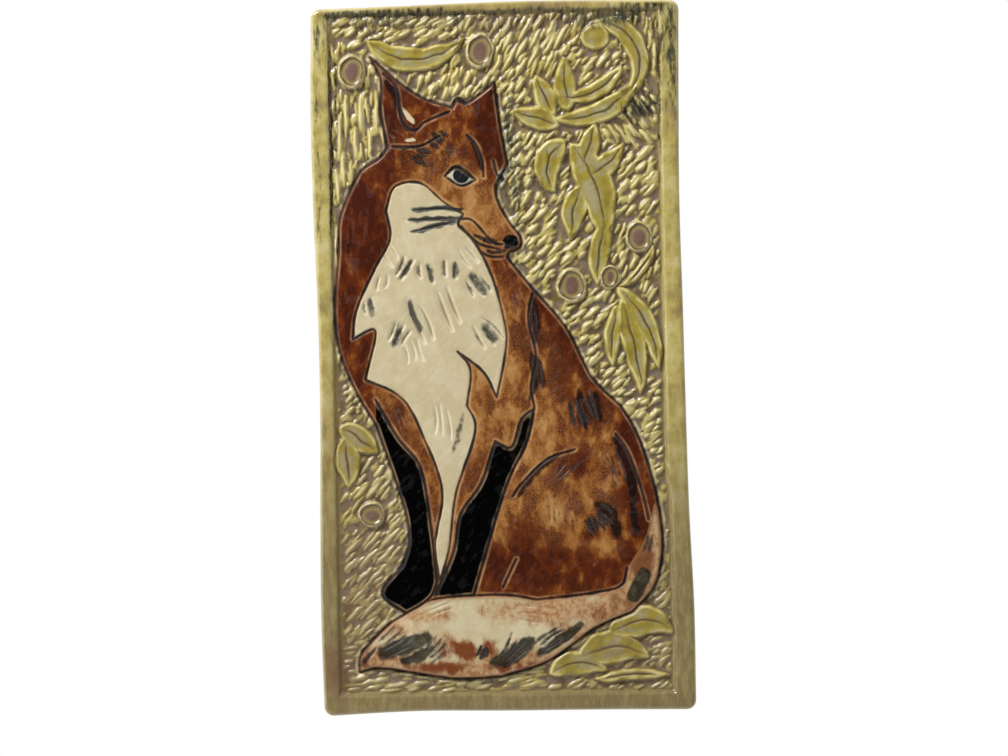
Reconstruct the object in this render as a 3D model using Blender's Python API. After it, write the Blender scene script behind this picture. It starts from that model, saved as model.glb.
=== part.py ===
# Relief wall plaque in glazed ceramic: a fox sits among leaves and berries inside a plain border.
# Lengths are metres. X runs along the width, Z up, and the pictured side faces -Y.
import math
import random

import bmesh
import bpy
import numpy as np
from mathutils import Vector
from mathutils.geometry import delaunay_2d_cdt

# Slab
PLAQUE_WIDTH = 0.195
PLAQUE_HEIGHT = 0.375
PLAQUE_THICKNESS = 0.011
CORNER_RADIUS = 0.005
EDGE_ROLL = 0.0016
BACK_BEVEL = 0.0006
MM = 0.001

# The drawing fills the slab as far as its own proportion lets it. Its leaves, berries and ridges are placed
# on a grid of even units from the middle, and a unit is a millimetre at the size above.
DRAWING_RATIO = 1.923
UNITS_HIGH = 375.0
DRAWING_HEIGHT = min(PLAQUE_HEIGHT, PLAQUE_WIDTH * DRAWING_RATIO)
UNIT = DRAWING_HEIGHT / UNITS_HIGH

# How finely the lines are drawn
EDGE_STEP = 11.0 * UNIT
FIELD_STEP = 12.0 * UNIT
FOX_STEP = 4.6 * UNIT
FOX_LINE_STEP = 5.0 * UNIT
LEAF_STEP = 4.2 * UNIT
FILL_STEP = 11.0 * UNIT

# How far the hand-cut edges leave a true rectangle, outward in mm, from one end of the side to the other
LEFT_SWAY = (-0.6, 0.3, -0.3, -1.3, -1.1, 0.2, 0.6, -0.6)
RIGHT_SWAY = (1.9, 2.0, 0.3, -0.4, -0.9, -1.6, -1.0, 0.0)
BOTTOM_SWAY = (0.4, -1.3, -0.6, -0.2, 0.6)
TOP_SWAY = (-2.0, -1.2, -0.2, 0.4, 0.0, -0.7)

# Levels of the relief, measured from the face of the border
GROUND_DROP = 0.0022
LEAF_DROP = 0.0004
LEAF_SWELL = 0.0007
FOX_RISE = 0.0005
FOX_SWELL = 0.0016
FOX_SWELL_REACH = 0.012
BERRY_RISE = 0.0003
BERRY_CUP = 0.0008
RIDGE_RISE = 0.0014
BORDER_CUT = 0.0009
OUTLINE_CUT = 0.0016
LINE_CUT = 0.0009
LEAF_CUT = 0.0008

# Half the width of the cuts and ridges
OUTLINE_HALF = 0.0011
LINE_HALF = 0.0009
RIDGE_HALF = 0.0015

# Border round the sunk field. On the right it is narrower below a bend, given in shares of the height.
BORDER_LEFT = 0.0093
BORDER_RIGHT_LOW = 0.0090
BORDER_RIGHT_HIGH = 0.0110
BORDER_BOTTOM_LEFT = 0.0109
BORDER_BOTTOM_RIGHT = 0.0092
BORDER_TOP = 0.0050
BORDER_BEND = (-0.22, -0.16)

# The fox stands in the field with room over its ear and under its tail, and its outlines are in hundredths
# of its height
FOX_HEADROOM = 0.0215
FOX_FOOTROOM = 0.0081
FOX_HEIGHT = DRAWING_HEIGHT - BORDER_TOP - BORDER_BOTTOM_LEFT - FOX_HEADROOM - FOX_FOOTROOM
FOX_FOOT = (0.0, BORDER_BOTTOM_LEFT + FOX_FOOTROOM - DRAWING_HEIGHT / 2)
FOX_OUTLINE = {
    "left_ear": ((-17.5, 85.1), (-18.5, 91.0), (-18.4, 95.9), (-20.1, 99.7)),
    "left_ear_edge": ((-20.1, 99.7), (-15.0, 95.1), (-11.3, 92.7), (-7.0, 91.3)),
    "crown": ((-7.0, 91.3), (-6.1, 92.7), (-5.5, 91.9), (-4.3, 92.2), (-0.2, 95.2)),
    "right_ear": ((-0.2, 95.2), (0.6, 88.0), (1.6, 82.2)),
    "bridge": ((1.6, 82.2), (-0.4, 78.0), (1.7, 72.8), (3.4, 70.6)),
    "nose": ((3.4, 70.6), (3.6, 69.4), (3.1, 68.5), (1.7, 68.0)),
    "chin": ((1.7, 68.0), (1.3, 67.3), (2.2, 65.9)),
    "back": ((2.2, 65.9), (4.9, 62.5), (10.5, 55.7), (14.7, 47.4), (19.1, 42.9)),
    "haunch": ((19.1, 42.9), (21.5, 38.6), (24.5, 28.3), (25.2, 20.1), (23.7, 13.9), (20.2, 10.1)),
    "tail_root": ((20.2, 10.1), (14.5, 7.7), (6.3, 2.3), (-1.0, 0.1)),
    "tail_under": ((-1.0, 0.1), (-7.9, -0.1), (-21.3, 1.8), (-23.6, 1.2)),
    "tail_tip": ((-23.6, 1.2), (-23.4, 3.8), (-18.5, 9.0), (-16.0, 10.5)),
    "paw": ((-16.0, 10.5), (-17.6, 11.6), (-19.2, 12.6), (-19.8, 13.8), (-19.2, 15.2), (-16.4, 18.2)),
    "foreleg": ((-16.4, 18.2), (-15.4, 21.3), (-15.6, 25.6), (-20.2, 40.7)),
    "flank": ((-20.2, 40.7), (-23.7, 46.9), (-26.0, 53.5), (-26.4, 59.8), (-25.7, 68.3)),
    "nape": ((-25.7, 68.3), (-25.3, 74.1), (-22.8, 79.8), (-21.7, 81.6), (-18.8, 83.5), (-17.5, 85.1)),
}

# Lines cut inside the fox, in hundredths of its height
FOX_LINES = {
    "cheek": ((-17.9, 75.0), (-16.4, 78.7), (-12.6, 79.3), (-8.4, 75.9), (-5.6, 74.2)),
    "throat": ((-5.6, 74.2), (-6.4, 72.5), (-4.1, 70.0), (-1.2, 64.1), (0.3, 58.6)),
    "breast": ((0.3, 58.6), (0.9, 54.6), (0.5, 50.7), (-0.8, 44.8)),
    "bib_hem": ((-0.8, 44.8), (-2.8, 48.8), (-6.9, 52.2)),
    "bib_fold": ((-6.9, 52.2), (-5.0, 49.5), (-5.6, 43.5)),
    "chest_right": ((-5.6, 43.5), (-4.3, 40.4), (-7.7, 29.3), (-8.6, 23.6)),
    "chest_left": ((-10.6, 16.2), (-11.1, 21.3), (-9.8, 30.0), (-12.6, 38.6), (-16.0, 45.0), (-21.7, 48.0)),
    "bib_corner": ((-21.7, 48.0), (-20.1, 56.0), (-23.6, 54.5)),
    "bib_side": ((-23.6, 54.5), (-23.0, 58.8), (-19.8, 65.8), (-17.3, 70.5), (-17.9, 75.0)),
    "left_sock": ((-20.2, 44.8), (-16.6, 38.5), (-13.4, 34.3), (-11.6, 23.6), (-10.9, 15.6)),
    "left_paw": ((-10.9, 15.6), (-11.6, 13.6), (-13.0, 12.2), (-16.0, 10.5)),
    "right_sock": ((5.2, 42.9), (4.0, 37.8), (0.8, 31.3), (-5.1, 13.2)),
    "right_sock_inside": ((-11.3, 13.3), (-8.2, 20.4), (-6.9, 26.4), (-3.7, 31.0), (-1.2, 37.8)),
    "right_sock_top": ((-1.2, 37.8), (1.2, 36.7), (3.2, 41.4), (5.2, 42.9)),
    "tail_top": ((-13.0, 12.2), (-10.9, 12.8), (0.5, 13.1), (5.0, 12.3)),
    "tail_bend": ((5.0, 12.3), (14.5, 13.3), (18.6, 14.4), (19.5, 17.1)),
    "ear_fold": ((-17.9, 96.9), (-15.9, 94.7), (-15.0, 89.2), (-13.1, 87.6), (-11.5, 88.9), (-7.5, 90.6)),
    "ear_base": ((-16.7, 85.2), (-12.2, 85.2), (-9.1, 86.7)),
    "eye_top": ((-8.4, 80.3), (-6.6, 81.7), (-3.5, 79.6)),
    "eye_under": ((-3.5, 79.6), (-5.8, 78.7), (-8.4, 80.3)),
    "brow": ((-4.8, 86.8), (-3.3, 85.2), (-2.4, 82.8), (-2.2, 80.1)),
    "mouth": ((-6.0, 73.4), (-4.3, 73.2), (-0.7, 69.4), (0.5, 69.2)),
    "lip": ((-6.0, 72.2), (-3.3, 69.5), (0.3, 68.3)),
    "shoulder": ((5.2, 61.3), (4.5, 57.5), (5.6, 51.0), (4.7, 46.5), (5.2, 42.9)),
    "haunch_fold": ((1.4, 28.9), (2.7, 30.7), (7.2, 34.8), (11.5, 36.2)),
    "hind_foot": ((1.8, 18.9), (-0.4, 14.4)),
    "rump": ((18.0, 38.6), (19.8, 36.0), (22.2, 29.0), (23.1, 24.8)),
}
PUPIL = (-5.9, 80.2)
PUPIL_RADIUS = 0.9
NOSE = (2.0, 69.5)
NOSE_RADIUS = 1.2

# Leaves: base x and z, heading and turn in degrees, length and width
LEAVES = (
    (-68, 169, -46, 92, 58, 13),
    (52, 176, 4, -146, 58, 11),
    (74, 143, -128, -62, 50, 11),
    (67, 153, -122, -66, 42, 8),
    (38, 129, 98, -10, 29, 12),
    (31, 127, 118, -8, 24, 11),
    (33, 122, 158, 14, 27, 12),
    (37, 113, 200, 112, 32, 14),
    (45, 99, 70, 8, 25, 11),
    (48, 94, 26, 34, 26, 11),
    (39, 112, -50, -46, 56, 19),
    (45, 90, 242, 32, 30, 13),
    (58, 72, -112, 24, 36, 11),
    (62, 36, -42, -44, 50, 11),
    (64, 30, -72, -14, 52, 12),
    (62, 26, -104, 16, 32, 9),
    (-86, -35, -30, -12, 25, 13),
    (-84, -40, -78, -14, 28, 13),
    (22, -168, 38, -70, 33, 13),
    (38, -161, 40, -78, 40, 17),
    (55, -148, 48, -92, 37, 17),
    (46, -172, 14, -22, 40, 6),
    (81, 58, -100, -60, 30, 5),
)
LOBE = (53, 168, 7.0, 7.0)

# Berries: x and z, half the width and half the height
BERRIES = (
    (-76, 152, 5.5, 7.0),
    (-8, 162, 5.5, 7.0),
    (38, 37, 6.0, 7.0),
    (74, 62, 5.5, 6.0),
    (-70, -82, 5.0, 5.2),
    (58, 41, 3.6, 5.0),
)
BERRY_RIM = 1.35

# Ridges left between the tool's strokes over the ground: where a patch of them lies, their heading in
# degrees, and their length and spacing
RIDGE_PATCHES = (
    (-79, 130, 91, 27, 3.8),
    (-80, 80, 92, 20, 3.8),
    (-44, 178, 30, 10, 3.8),
    (-34, 150, 62, 11, 3.8),
    (0, 178, 62, 12, 3.8),
    (22, 168, 60, 15, 3.8),
    (57, 156, 50, 11, 3.8),
    (81, 168, 86, 18, 3.8),
    (76, 131, -52, 11, 3.8),
    (12, 130, 50, 10, 3.8),
    (16, 98, 52, 10, 4.0),
    (25, 62, 42, 11, 3.8),
    (74, 92, 48, 11, 3.8),
    (78, 44, 60, 11, 3.8),
    (36, 8, 38, 11, 3.8),
    (80, -50, 36, 8, 3.8),
    (84, -110, 34, 6, 3.8),
    (-80, -20, 48, 11, 4.1),
    (-66, -60, 46, 12, 4.1),
    (-75, -115, 44, 15, 4.9),
    (-60, -172, 12, 16, 4.1),
)
RIDGE_SEED = 11


def clear_scene():
    """Take away whatever the scene starts with."""
    for thing in list(bpy.data.objects):
        bpy.data.objects.remove(thing, do_unlink=True)


def smooth(points, step):
    """Curve through the points, given again at about equal steps with both ends kept."""
    knots = np.array(points, dtype=float)
    gaps = np.linalg.norm(np.diff(knots, axis=0), axis=1)
    place = np.concatenate([[0.0], np.cumsum(np.sqrt(gaps))])
    slope = np.gradient(knots, place, axis=0)
    fine = np.linspace(0.0, place[-1], 24 * len(knots))
    span = np.clip(np.searchsorted(place, fine, side="right") - 1, 0, len(knots) - 2)
    width = place[span + 1] - place[span]
    s = ((fine - place[span]) / width)[:, None]
    width = width[:, None]
    curve = (2 * s**3 - 3 * s**2 + 1) * knots[span] + (s**3 - 2 * s**2 + s) * width * slope[span]
    curve += (3 * s**2 - 2 * s**3) * knots[span + 1] + (s**3 - s**2) * width * slope[span + 1]
    return even_steps(curve, step)


def even_steps(line, step):
    """The same line with points at about equal steps."""
    run = np.concatenate([[0.0], np.cumsum(np.linalg.norm(np.diff(line, axis=0), axis=1))])
    count = max(1, round(run[-1] / step))
    marks = np.linspace(0.0, run[-1], count + 1)
    return np.stack([np.interp(marks, run, line[:, k]) for k in (0, 1)], axis=1)


def fox_place(points):
    """Hundredths of the fox's height turned into metres on the plaque."""
    return np.array(points, dtype=float) * FOX_HEIGHT / 100 + np.array(FOX_FOOT)


def fox_outline(step):
    """The fox's outline as a closed ring of points."""
    parts = [smooth(fox_place(part), step)[:-1] for part in FOX_OUTLINE.values()]
    return np.concatenate(parts)


def leaf(x, z, heading, turn, length, width):
    """Outline and middle line of a leaf that bends evenly and is pointed at both ends."""
    count = max(5, round(length / 5.0))
    share = np.linspace(0.0, 1.0, count + 1)
    angle = np.radians(heading + turn * (share[:-1] + share[1:]) / 2)
    steps = np.stack([np.cos(angle), np.sin(angle)], axis=1) * length / count
    middle = np.concatenate([[(x, z)], np.array((x, z)) + np.cumsum(steps, axis=0)])
    angle = np.radians(heading + turn * share)
    side = np.stack([-np.sin(angle), np.cos(angle)], axis=1)
    half = (width / 2 * np.sin(math.pi * share**0.85) ** 0.8)[1:-1, None]
    left = middle[1:-1] + side[1:-1] * half
    right = middle[1:-1] - side[1:-1] * half
    ring = np.concatenate([middle[:1], left, middle[-1:], right[::-1]])
    return ring * UNIT, middle * UNIT


def oval(x, z, half_width, half_height, count):
    """Closed ring of points around a berry."""
    angle = np.arange(count) * 2 * math.pi / count
    return np.stack([x + half_width * np.cos(angle), z + half_height * np.sin(angle)], axis=1) * UNIT


def fox_disc(centre, radius):
    """Closed line around a round spot of the fox, from hundredths of its height."""
    angle = np.linspace(0.0, 2 * math.pi, 9)
    return fox_place(np.array(centre) + radius * np.stack([np.cos(angle), np.sin(angle)], axis=1))


def inset_ring(corners, distance):
    """Straight-sided ring moved inward by the distance, its corners kept sharp."""
    ahead = np.roll(corners, -1, axis=0) - corners
    ahead /= np.linalg.norm(ahead, axis=1)[:, None]
    inward = np.stack([-ahead[:, 1], ahead[:, 0]], axis=1)
    before = np.roll(inward, 1, axis=0)
    bisector = inward + before
    return corners + bisector * 2 * distance / (bisector**2).sum(axis=1)[:, None]


def nearest_on_line(points, line):
    """Distance from each point to a line, and how far along the line that is, from 0 to 1."""
    start = line[:-1]
    along = line[1:] - start
    lengths = np.linalg.norm(along, axis=1)
    run = np.concatenate([[0.0], np.cumsum(lengths)])
    offset = points[:, None, :] - start[None]
    share = np.clip((offset * along[None]).sum(axis=2) / np.maximum(lengths**2, 1e-12), 0.0, 1.0)
    gap = np.linalg.norm(offset - share[..., None] * along[None], axis=2)
    best = gap.argmin(axis=1)
    rows = np.arange(len(points))
    return gap[rows, best], (run[best] + share[rows, best] * lengths[best]) / run[-1]


def inside_ring(points, ring):
    """Whether each point lies inside a closed ring."""
    ahead = np.roll(ring, -1, axis=0)
    x, z = points[:, 0][:, None], points[:, 1][:, None]
    crosses = (ring[:, 1] > z) != (ahead[:, 1] > z)
    rise = np.where(ahead[:, 1] == ring[:, 1], 1.0, ahead[:, 1] - ring[:, 1])
    at = ring[:, 0] + (z - ring[:, 1]) * (ahead[:, 0] - ring[:, 0]) / rise
    return (crosses & (x < at)).sum(axis=1) % 2 == 1


def closed(ring):
    """The ring as a line that comes back to its first point."""
    return np.concatenate([ring, ring[:1]])


def depth_inside(points, ring):
    """Distance to the ring, above zero inside it and below zero outside."""
    gap, _ = nearest_on_line(points, closed(ring))
    return np.where(inside_ring(points, ring), gap, -gap)


def ease(value, low, high):
    """Smooth rise from 0 at low to 1 at high."""
    share = np.clip((value - low) / (high - low), 0.0, 1.0)
    return share * share * (3 - 2 * share)


def ridges(keep_clear, field):
    """Short ridges left standing over the ground, in rows that lean with their patch."""
    dice = random.Random(RIDGE_SEED)
    centres = np.array([(patch[0], patch[1]) for patch in RIDGE_PATCHES])
    strokes = []
    for index, (x, z, heading, length, spacing) in enumerate(RIDGE_PATCHES):
        along = np.array((math.cos(math.radians(heading)), math.sin(math.radians(heading))))
        across = np.array((-along[1], along[0]))
        for row in range(-18, 19):
            for column in range(-8, 9):
                shift = (row % 2) * (length + 2.2) / 2 + dice.uniform(-1.5, 1.5)
                middle = centres[index] + across * (row * spacing + dice.uniform(-0.5, 0.5))
                middle = middle + along * (column * (length + 2.2) + shift)
                reach = length / 2 * dice.uniform(0.8, 1.0)
                bow = across * dice.uniform(-0.6, 0.6)
                if np.linalg.norm(centres - middle, axis=1).argmin() != index:
                    continue
                for share in (1.0, 0.7, 0.5):
                    ends = along * reach * share
                    belly = (middle - ends * 0.4 + bow, middle + ends * 0.4 + bow)
                    stroke = np.array((middle - ends, *belly, middle + ends)) * UNIT
                    if stroke_is_free(stroke, keep_clear, field):
                        strokes.append(stroke)
                        break
    return strokes


def stroke_is_free(stroke, keep_clear, field):
    """Whether a stroke stays on the open ground."""
    tests = even_steps(stroke, 0.003)
    if depth_inside(tests, field).min() < RIDGE_HALF + 0.0006:
        return False
    return all(depth_inside(tests, ring).max() < -(RIDGE_HALF + 0.0004) for ring in keep_clear)


class Carving:
    """Every outline and cut of the relief, and the height of the face that they give."""

    def __init__(self):
        corners = field_corners()
        self.field = even_ring(corners, FIELD_STEP)
        sides = [inset_ring(corners, gap) for gap in (-OUTLINE_HALF, OUTLINE_HALF)]
        self.field_sides = [even_ring(side, FIELD_STEP) for side in sides]
        self.fox = fox_outline(FOX_STEP)
        self.fox_lines = [smooth(fox_place(line), FOX_LINE_STEP) for line in FOX_LINES.values()]
        self.fox_lines += [fox_disc(PUPIL, PUPIL_RADIUS), fox_disc(NOSE, NOSE_RADIUS)]
        self.leaves = [leaf(*values) for values in LEAVES]
        self.leaf_rings = [ring for ring, _ in self.leaves] + [oval(*LOBE, 12)]
        self.berries = [oval(x, z, a, b, 12) for x, z, a, b in BERRIES]
        self.berry_rims = [oval(x, z, a * BERRY_RIM, b * BERRY_RIM, 12) for x, z, a, b in BERRIES]
        rings = [self.fox] + self.berry_rims + self.leaf_rings
        self.ridges = ridges(rings, self.field)
        self.leaf_edges = []
        for k, ring in enumerate(self.leaf_rings):
            others = self.leaf_rings[:k] + self.leaf_rings[k + 1:] + self.berry_rims
            self.leaf_edges += self.open_runs(ring, others)

    def open_runs(self, ring, others):
        """The parts of a leaf's edge that no other leaf, the fox or the border covers."""
        line = even_steps(closed(ring), 0.0015)
        free = depth_inside(line, self.fox) < -0.0018
        free &= depth_inside(line, self.field) > 0.0018
        for other in others:
            free &= depth_inside(line, other) < -0.0004
        cuts = np.flatnonzero(np.diff(free)) + 1
        pieces = zip(np.split(line, cuts), np.split(free, cuts))
        return [even_steps(run, LEAF_STEP) for run, keep in pieces if keep[0] and len(run) > 3]

    def height(self, points):
        """Height of the face over the border's level at each point."""
        level = -GROUND_DROP * ease(depth_inside(points, self.field), -0.0004, OUTLINE_HALF)
        for stroke in self.ridges:
            level = np.maximum(level, tapered(points, stroke, RIDGE_RISE, RIDGE_HALF) - GROUND_DROP)
        for ring in self.leaf_rings:
            deep = depth_inside(points, ring)
            top = -LEAF_DROP + LEAF_SWELL * ease(deep, 0.0, 0.006)
            level = np.maximum(level, mix(-GROUND_DROP, top, ease(deep, -0.0006, OUTLINE_HALF)))
        for rim, core in zip(self.berry_rims, self.berries):
            deep = depth_inside(points, rim)
            top = BERRY_RISE - BERRY_CUP * ease(depth_inside(points, core), -0.0004, 0.0010)
            level = np.maximum(level, mix(-GROUND_DROP, top, ease(deep, -0.0006, OUTLINE_HALF)))
        deep = depth_inside(points, self.fox)
        top = FOX_RISE + FOX_SWELL * (1 - np.exp(-np.maximum(deep, 0.0) / FOX_SWELL_REACH))
        share = ease(deep, -OUTLINE_HALF, OUTLINE_HALF)
        level = mix(level, top, share)
        return level - self.cut(points)

    def cut(self, points):
        """Depth of the cut strokes at each point."""
        depth = v_cut(points, closed(self.fox), OUTLINE_CUT, OUTLINE_HALF)
        depth = np.maximum(depth, v_cut(points, closed(self.field), BORDER_CUT, LINE_HALF))
        for line in self.fox_lines:
            depth = np.maximum(depth, v_cut(points, line, LINE_CUT, LINE_HALF))
        for _, middle in self.leaves:
            depth = np.maximum(depth, tapered(points, middle[1:-1], LEAF_CUT, LINE_HALF))
        return depth


def field_corners():
    """Corners of the sunk field, with the bend in its right side."""
    right, top = PLAQUE_WIDTH / 2, PLAQUE_HEIGHT / 2
    low, high = right - BORDER_RIGHT_LOW, right - BORDER_RIGHT_HIGH
    bend_low, bend_high = PLAQUE_HEIGHT * BORDER_BEND[0], PLAQUE_HEIGHT * BORDER_BEND[1]
    left = BORDER_LEFT - right
    return np.array((
        (left, BORDER_BOTTOM_LEFT - top),
        (low, BORDER_BOTTOM_RIGHT - top),
        (low, bend_low),
        (high, bend_high),
        (high, top - BORDER_TOP),
        (left, top - BORDER_TOP),
    ))


def even_ring(corners, step):
    """A closed ring with points at about equal steps along its straight sides."""
    ends = np.roll(corners, -1, axis=0)
    return np.concatenate([even_steps(np.array((a, b)), step)[:-1] for a, b in zip(corners, ends)])


def mix(low, high, share):
    """The value part of the way from low to high."""
    return low + (high - low) * share


def v_cut(points, line, depth, half):
    """V-shaped groove along a line."""
    gap, _ = nearest_on_line(points, line)
    return depth * np.clip(1 - gap / half, 0.0, 1.0)


def tapered(points, line, depth, half):
    """Height of a V that runs out to nothing at both ends of its line."""
    gap, share = nearest_on_line(points, line)
    return depth * np.clip(1 - gap / half, 0.0, 1.0) * np.sin(math.pi * np.clip(share, 0.0, 1.0)) ** 0.6


def sway(values, share):
    """Smooth value along a side from a few even readings."""
    places = np.linspace(0.0, 1.0, len(values))
    curve = smooth(np.stack([places, np.array(values) * 0.02], axis=1), 0.004)
    return np.interp(share, curve[:, 0], curve[:, 1]) / 0.02 * MM


def slab_ring(inset):
    """Outline of the slab with its rounded corners and slightly wavy sides, drawn in by the inset."""
    half = np.array((PLAQUE_WIDTH, PLAQUE_HEIGHT)) / 2
    ring = []
    for quarter, (sx, sz) in enumerate(((1, -1), (1, 1), (-1, 1), (-1, -1))):
        centre = half * (sx, sz) - np.array((sx, sz)) * CORNER_RADIUS
        for turn in np.radians(np.linspace(-90.0, 0.0, 5) + 90.0 * quarter):
            ring.append(np.concatenate([centre, (math.cos(turn), math.sin(turn))]))
    ring = np.array(ring)
    sides = []
    for start, end in zip(ring, np.roll(ring, -1, axis=0)):
        count = max(1, round(np.linalg.norm(end[:2] - start[:2]) / EDGE_STEP))
        sides.extend(mix(start, end, k / count) for k in range(count))
    sides = np.array(sides)
    plan = sides[:, :2] + sides[:, 2:] * (CORNER_RADIUS - inset)
    along_x = plan[:, 0] / PLAQUE_WIDTH + 0.5
    along_z = plan[:, 1] / PLAQUE_HEIGHT + 0.5
    right, left = sway(RIGHT_SWAY, along_z), sway(LEFT_SWAY, along_z)
    top, bottom = sway(TOP_SWAY, along_x), sway(BOTTOM_SWAY, along_x)
    move_x = mix(-left, right, along_x)
    move_z = mix(-bottom, top, along_z)
    return plan + np.stack([move_x, move_z], axis=1)


class Net:
    """Points of the face and the lines that its triangles have to follow."""

    def __init__(self, ring):
        self.points = [tuple(point) for point in ring]
        self.rim = len(ring)
        self.edges = [(k, (k + 1) % self.rim) for k in range(self.rim)]
        self.limit = slab_ring(EDGE_ROLL + 0.0012)

    def index(self, point, gap):
        """Number of the point, taken from one that is already within the gap."""
        known = np.array(self.points)
        distance = np.linalg.norm(known - point, axis=1)
        nearest = int(distance.argmin())
        if distance[nearest] < gap:
            return nearest
        self.points.append(tuple(point))
        return len(self.points) - 1

    def add_line(self, line, gap=0.0007):
        """Put a line in, joined to what it meets."""
        numbers = [self.index(point, gap) for point in line]
        for start, end in zip(numbers[:-1], numbers[1:]):
            if start != end and (end, start) not in self.edges and (start, end) not in self.edges:
                self.edges.append((start, end))

    def add_points(self, points, gap):
        """Put loose points in where they are clear of the lines and of each other."""
        points = points[inside_ring(points, self.limit)]
        known = np.array(self.points)
        starts = known[[edge[0] for edge in self.edges]]
        ends = known[[edge[1] for edge in self.edges]]
        span = ends - starts
        for point in points:
            share = np.clip(((point - starts) * span).sum(axis=1) / (span**2).sum(axis=1), 0.0, 1.0)
            if np.linalg.norm(starts + span * share[:, None] - point, axis=1).min() > gap:
                self.index(point, gap * 1.3)


def beside(line, distance):
    """Points on both sides of a line at a distance."""
    ahead = np.gradient(line, axis=0)
    ahead /= np.maximum(np.linalg.norm(ahead, axis=1), 1e-9)[:, None]
    side = np.stack([-ahead[:, 1], ahead[:, 0]], axis=1)
    return np.concatenate([line + side * distance, line - side * distance])


def face_net(carving):
    """Points and lines of the whole face."""
    net = Net(slab_ring(EDGE_ROLL))
    net.add_line(closed(carving.fox))
    for ring in [carving.field] + carving.field_sides:
        net.add_line(closed(ring))
    for line in carving.fox_lines:
        net.add_line(line, 0.0012)
    for ring in carving.berry_rims + carving.berries:
        net.add_line(closed(ring))
    for edge in carving.leaf_edges:
        net.add_line(edge, 0.0010)
    for stroke in carving.ridges:
        net.add_line(stroke)
    net.add_points(beside(closed(carving.fox), OUTLINE_HALF), 0.0007)
    for line in carving.fox_lines:
        net.add_points(beside(line, LINE_HALF), 0.0006)
    for edge in carving.leaf_edges:
        net.add_points(beside(edge, OUTLINE_HALF), 0.0008)
    for stroke in carving.ridges:
        net.add_points(beside(stroke, RIDGE_HALF)[[1, 2, 5, 6]], 0.0008)
    for _, middle in carving.leaves:
        net.add_points(middle[1:-1], 0.0014)
    for x, z, _, _ in BERRIES:
        net.add_points(np.array([(x, z)]) * UNIT, 0.0008)
    net.add_points(fill_points(FILL_STEP), 0.0035)
    return net


def fill_points(step):
    """Loose points in even staggered rows over the slab."""
    points = []
    for row in range(int(PLAQUE_HEIGHT / step) + 1):
        for column in range(int(PLAQUE_WIDTH / step) + 1):
            x = -PLAQUE_WIDTH / 2 + (column + 0.5 * (row % 2)) * step
            points.append((x, -PLAQUE_HEIGHT / 2 + row * step))
    return np.array(points)


def build_plaque(material):
    """The whole slab as one closed solid."""
    carving = Carving()
    net = face_net(carving)
    flat = [Vector(point) for point in net.points]
    rim = list(range(net.rim))
    places, _, faces, origins, _, _ = delaunay_2d_cdt(flat, net.edges, [rim], 1, 1e-6)
    plan = np.array([tuple(place) for place in places])
    height = carving.height(plan)
    rim_vertex = {old: new for new, olds in enumerate(origins) for old in olds if old < net.rim}
    height[list(rim_vertex.values())] = 0.0
    shape = bmesh.new()
    front = [shape.verts.new((x, -PLAQUE_THICKNESS - h, z)) for (x, z), h in zip(plan, height)]
    for face in faces:
        shape.faces.new([front[k] for k in face])
    ring = [front[rim_vertex[k]] for k in range(net.rim)]
    roll = EDGE_ROLL * (1 - math.sqrt(0.5))
    for inset, depth in ((roll, PLAQUE_THICKNESS - roll), (0.0, PLAQUE_THICKNESS - EDGE_ROLL),
                         (0.0, BACK_BEVEL), (BACK_BEVEL, 0.0)):
        ring = add_band(shape, ring, slab_ring(inset), depth)
    shape.faces.new(ring)
    bmesh.ops.recalc_face_normals(shape, faces=shape.faces)
    mesh = bpy.data.meshes.new("plaque")
    shape.to_mesh(mesh)
    shape.free()
    mesh.materials.append(material)
    plaque = bpy.data.objects.new("plaque", mesh)
    bpy.context.scene.collection.objects.link(plaque)


def add_band(shape, ring, plan, depth):
    """Join a ring of vertices to the next ring of the slab's edge, which is given back."""
    following = [shape.verts.new((x, -depth, z)) for x, z in plan]
    count = len(ring)
    for k in range(count):
        shape.faces.new((ring[k], ring[(k + 1) % count], following[(k + 1) % count], following[k]))
    return following


def glaze():
    """Glossy olive and fox-brown glaze over pale clay, as one mean colour."""
    material = bpy.data.materials.new("glazed_clay")
    material.use_nodes = True
    surface = material.node_tree.nodes["Principled BSDF"]
    surface.inputs["Base Color"].default_value = (0.30, 0.21, 0.06, 1.0)
    surface.inputs["Roughness"].default_value = 0.25
    return material


clear_scene()
build_plaque(glaze())
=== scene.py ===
# A hand-carved ceramic wall plaque: a sitting fox among leaves and berries, glazed in brown, cream,
# black and olive yellow. Plans are in millimetres from the middle of the plaque, x to the right and z up.
import math
import random
import bpy
import numpy as np
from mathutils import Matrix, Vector, noise
from mathutils.geometry import delaunay_2d_cdt


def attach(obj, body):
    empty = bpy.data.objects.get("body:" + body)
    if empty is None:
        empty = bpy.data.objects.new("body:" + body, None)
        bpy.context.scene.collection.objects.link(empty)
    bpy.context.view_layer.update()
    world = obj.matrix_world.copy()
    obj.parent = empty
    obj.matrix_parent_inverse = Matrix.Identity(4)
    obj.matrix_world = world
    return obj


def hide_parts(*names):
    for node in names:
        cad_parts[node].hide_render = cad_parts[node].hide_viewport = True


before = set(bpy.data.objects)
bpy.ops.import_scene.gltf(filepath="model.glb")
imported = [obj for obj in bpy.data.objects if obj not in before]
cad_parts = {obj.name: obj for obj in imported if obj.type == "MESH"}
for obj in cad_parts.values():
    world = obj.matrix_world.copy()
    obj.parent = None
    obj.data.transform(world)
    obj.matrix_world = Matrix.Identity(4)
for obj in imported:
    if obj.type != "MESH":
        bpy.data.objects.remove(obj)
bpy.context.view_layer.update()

# The slab. A rolled sheet of pale stoneware, cut by hand, so its sides waver by a millimetre or two.
# Its front edge and its corners were rounded off with a wet finger.
WIDTH, HEIGHT, THICK = 195.0, 375.0, 11.0
CORNER = 5.0
ROLL = 2.2
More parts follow.
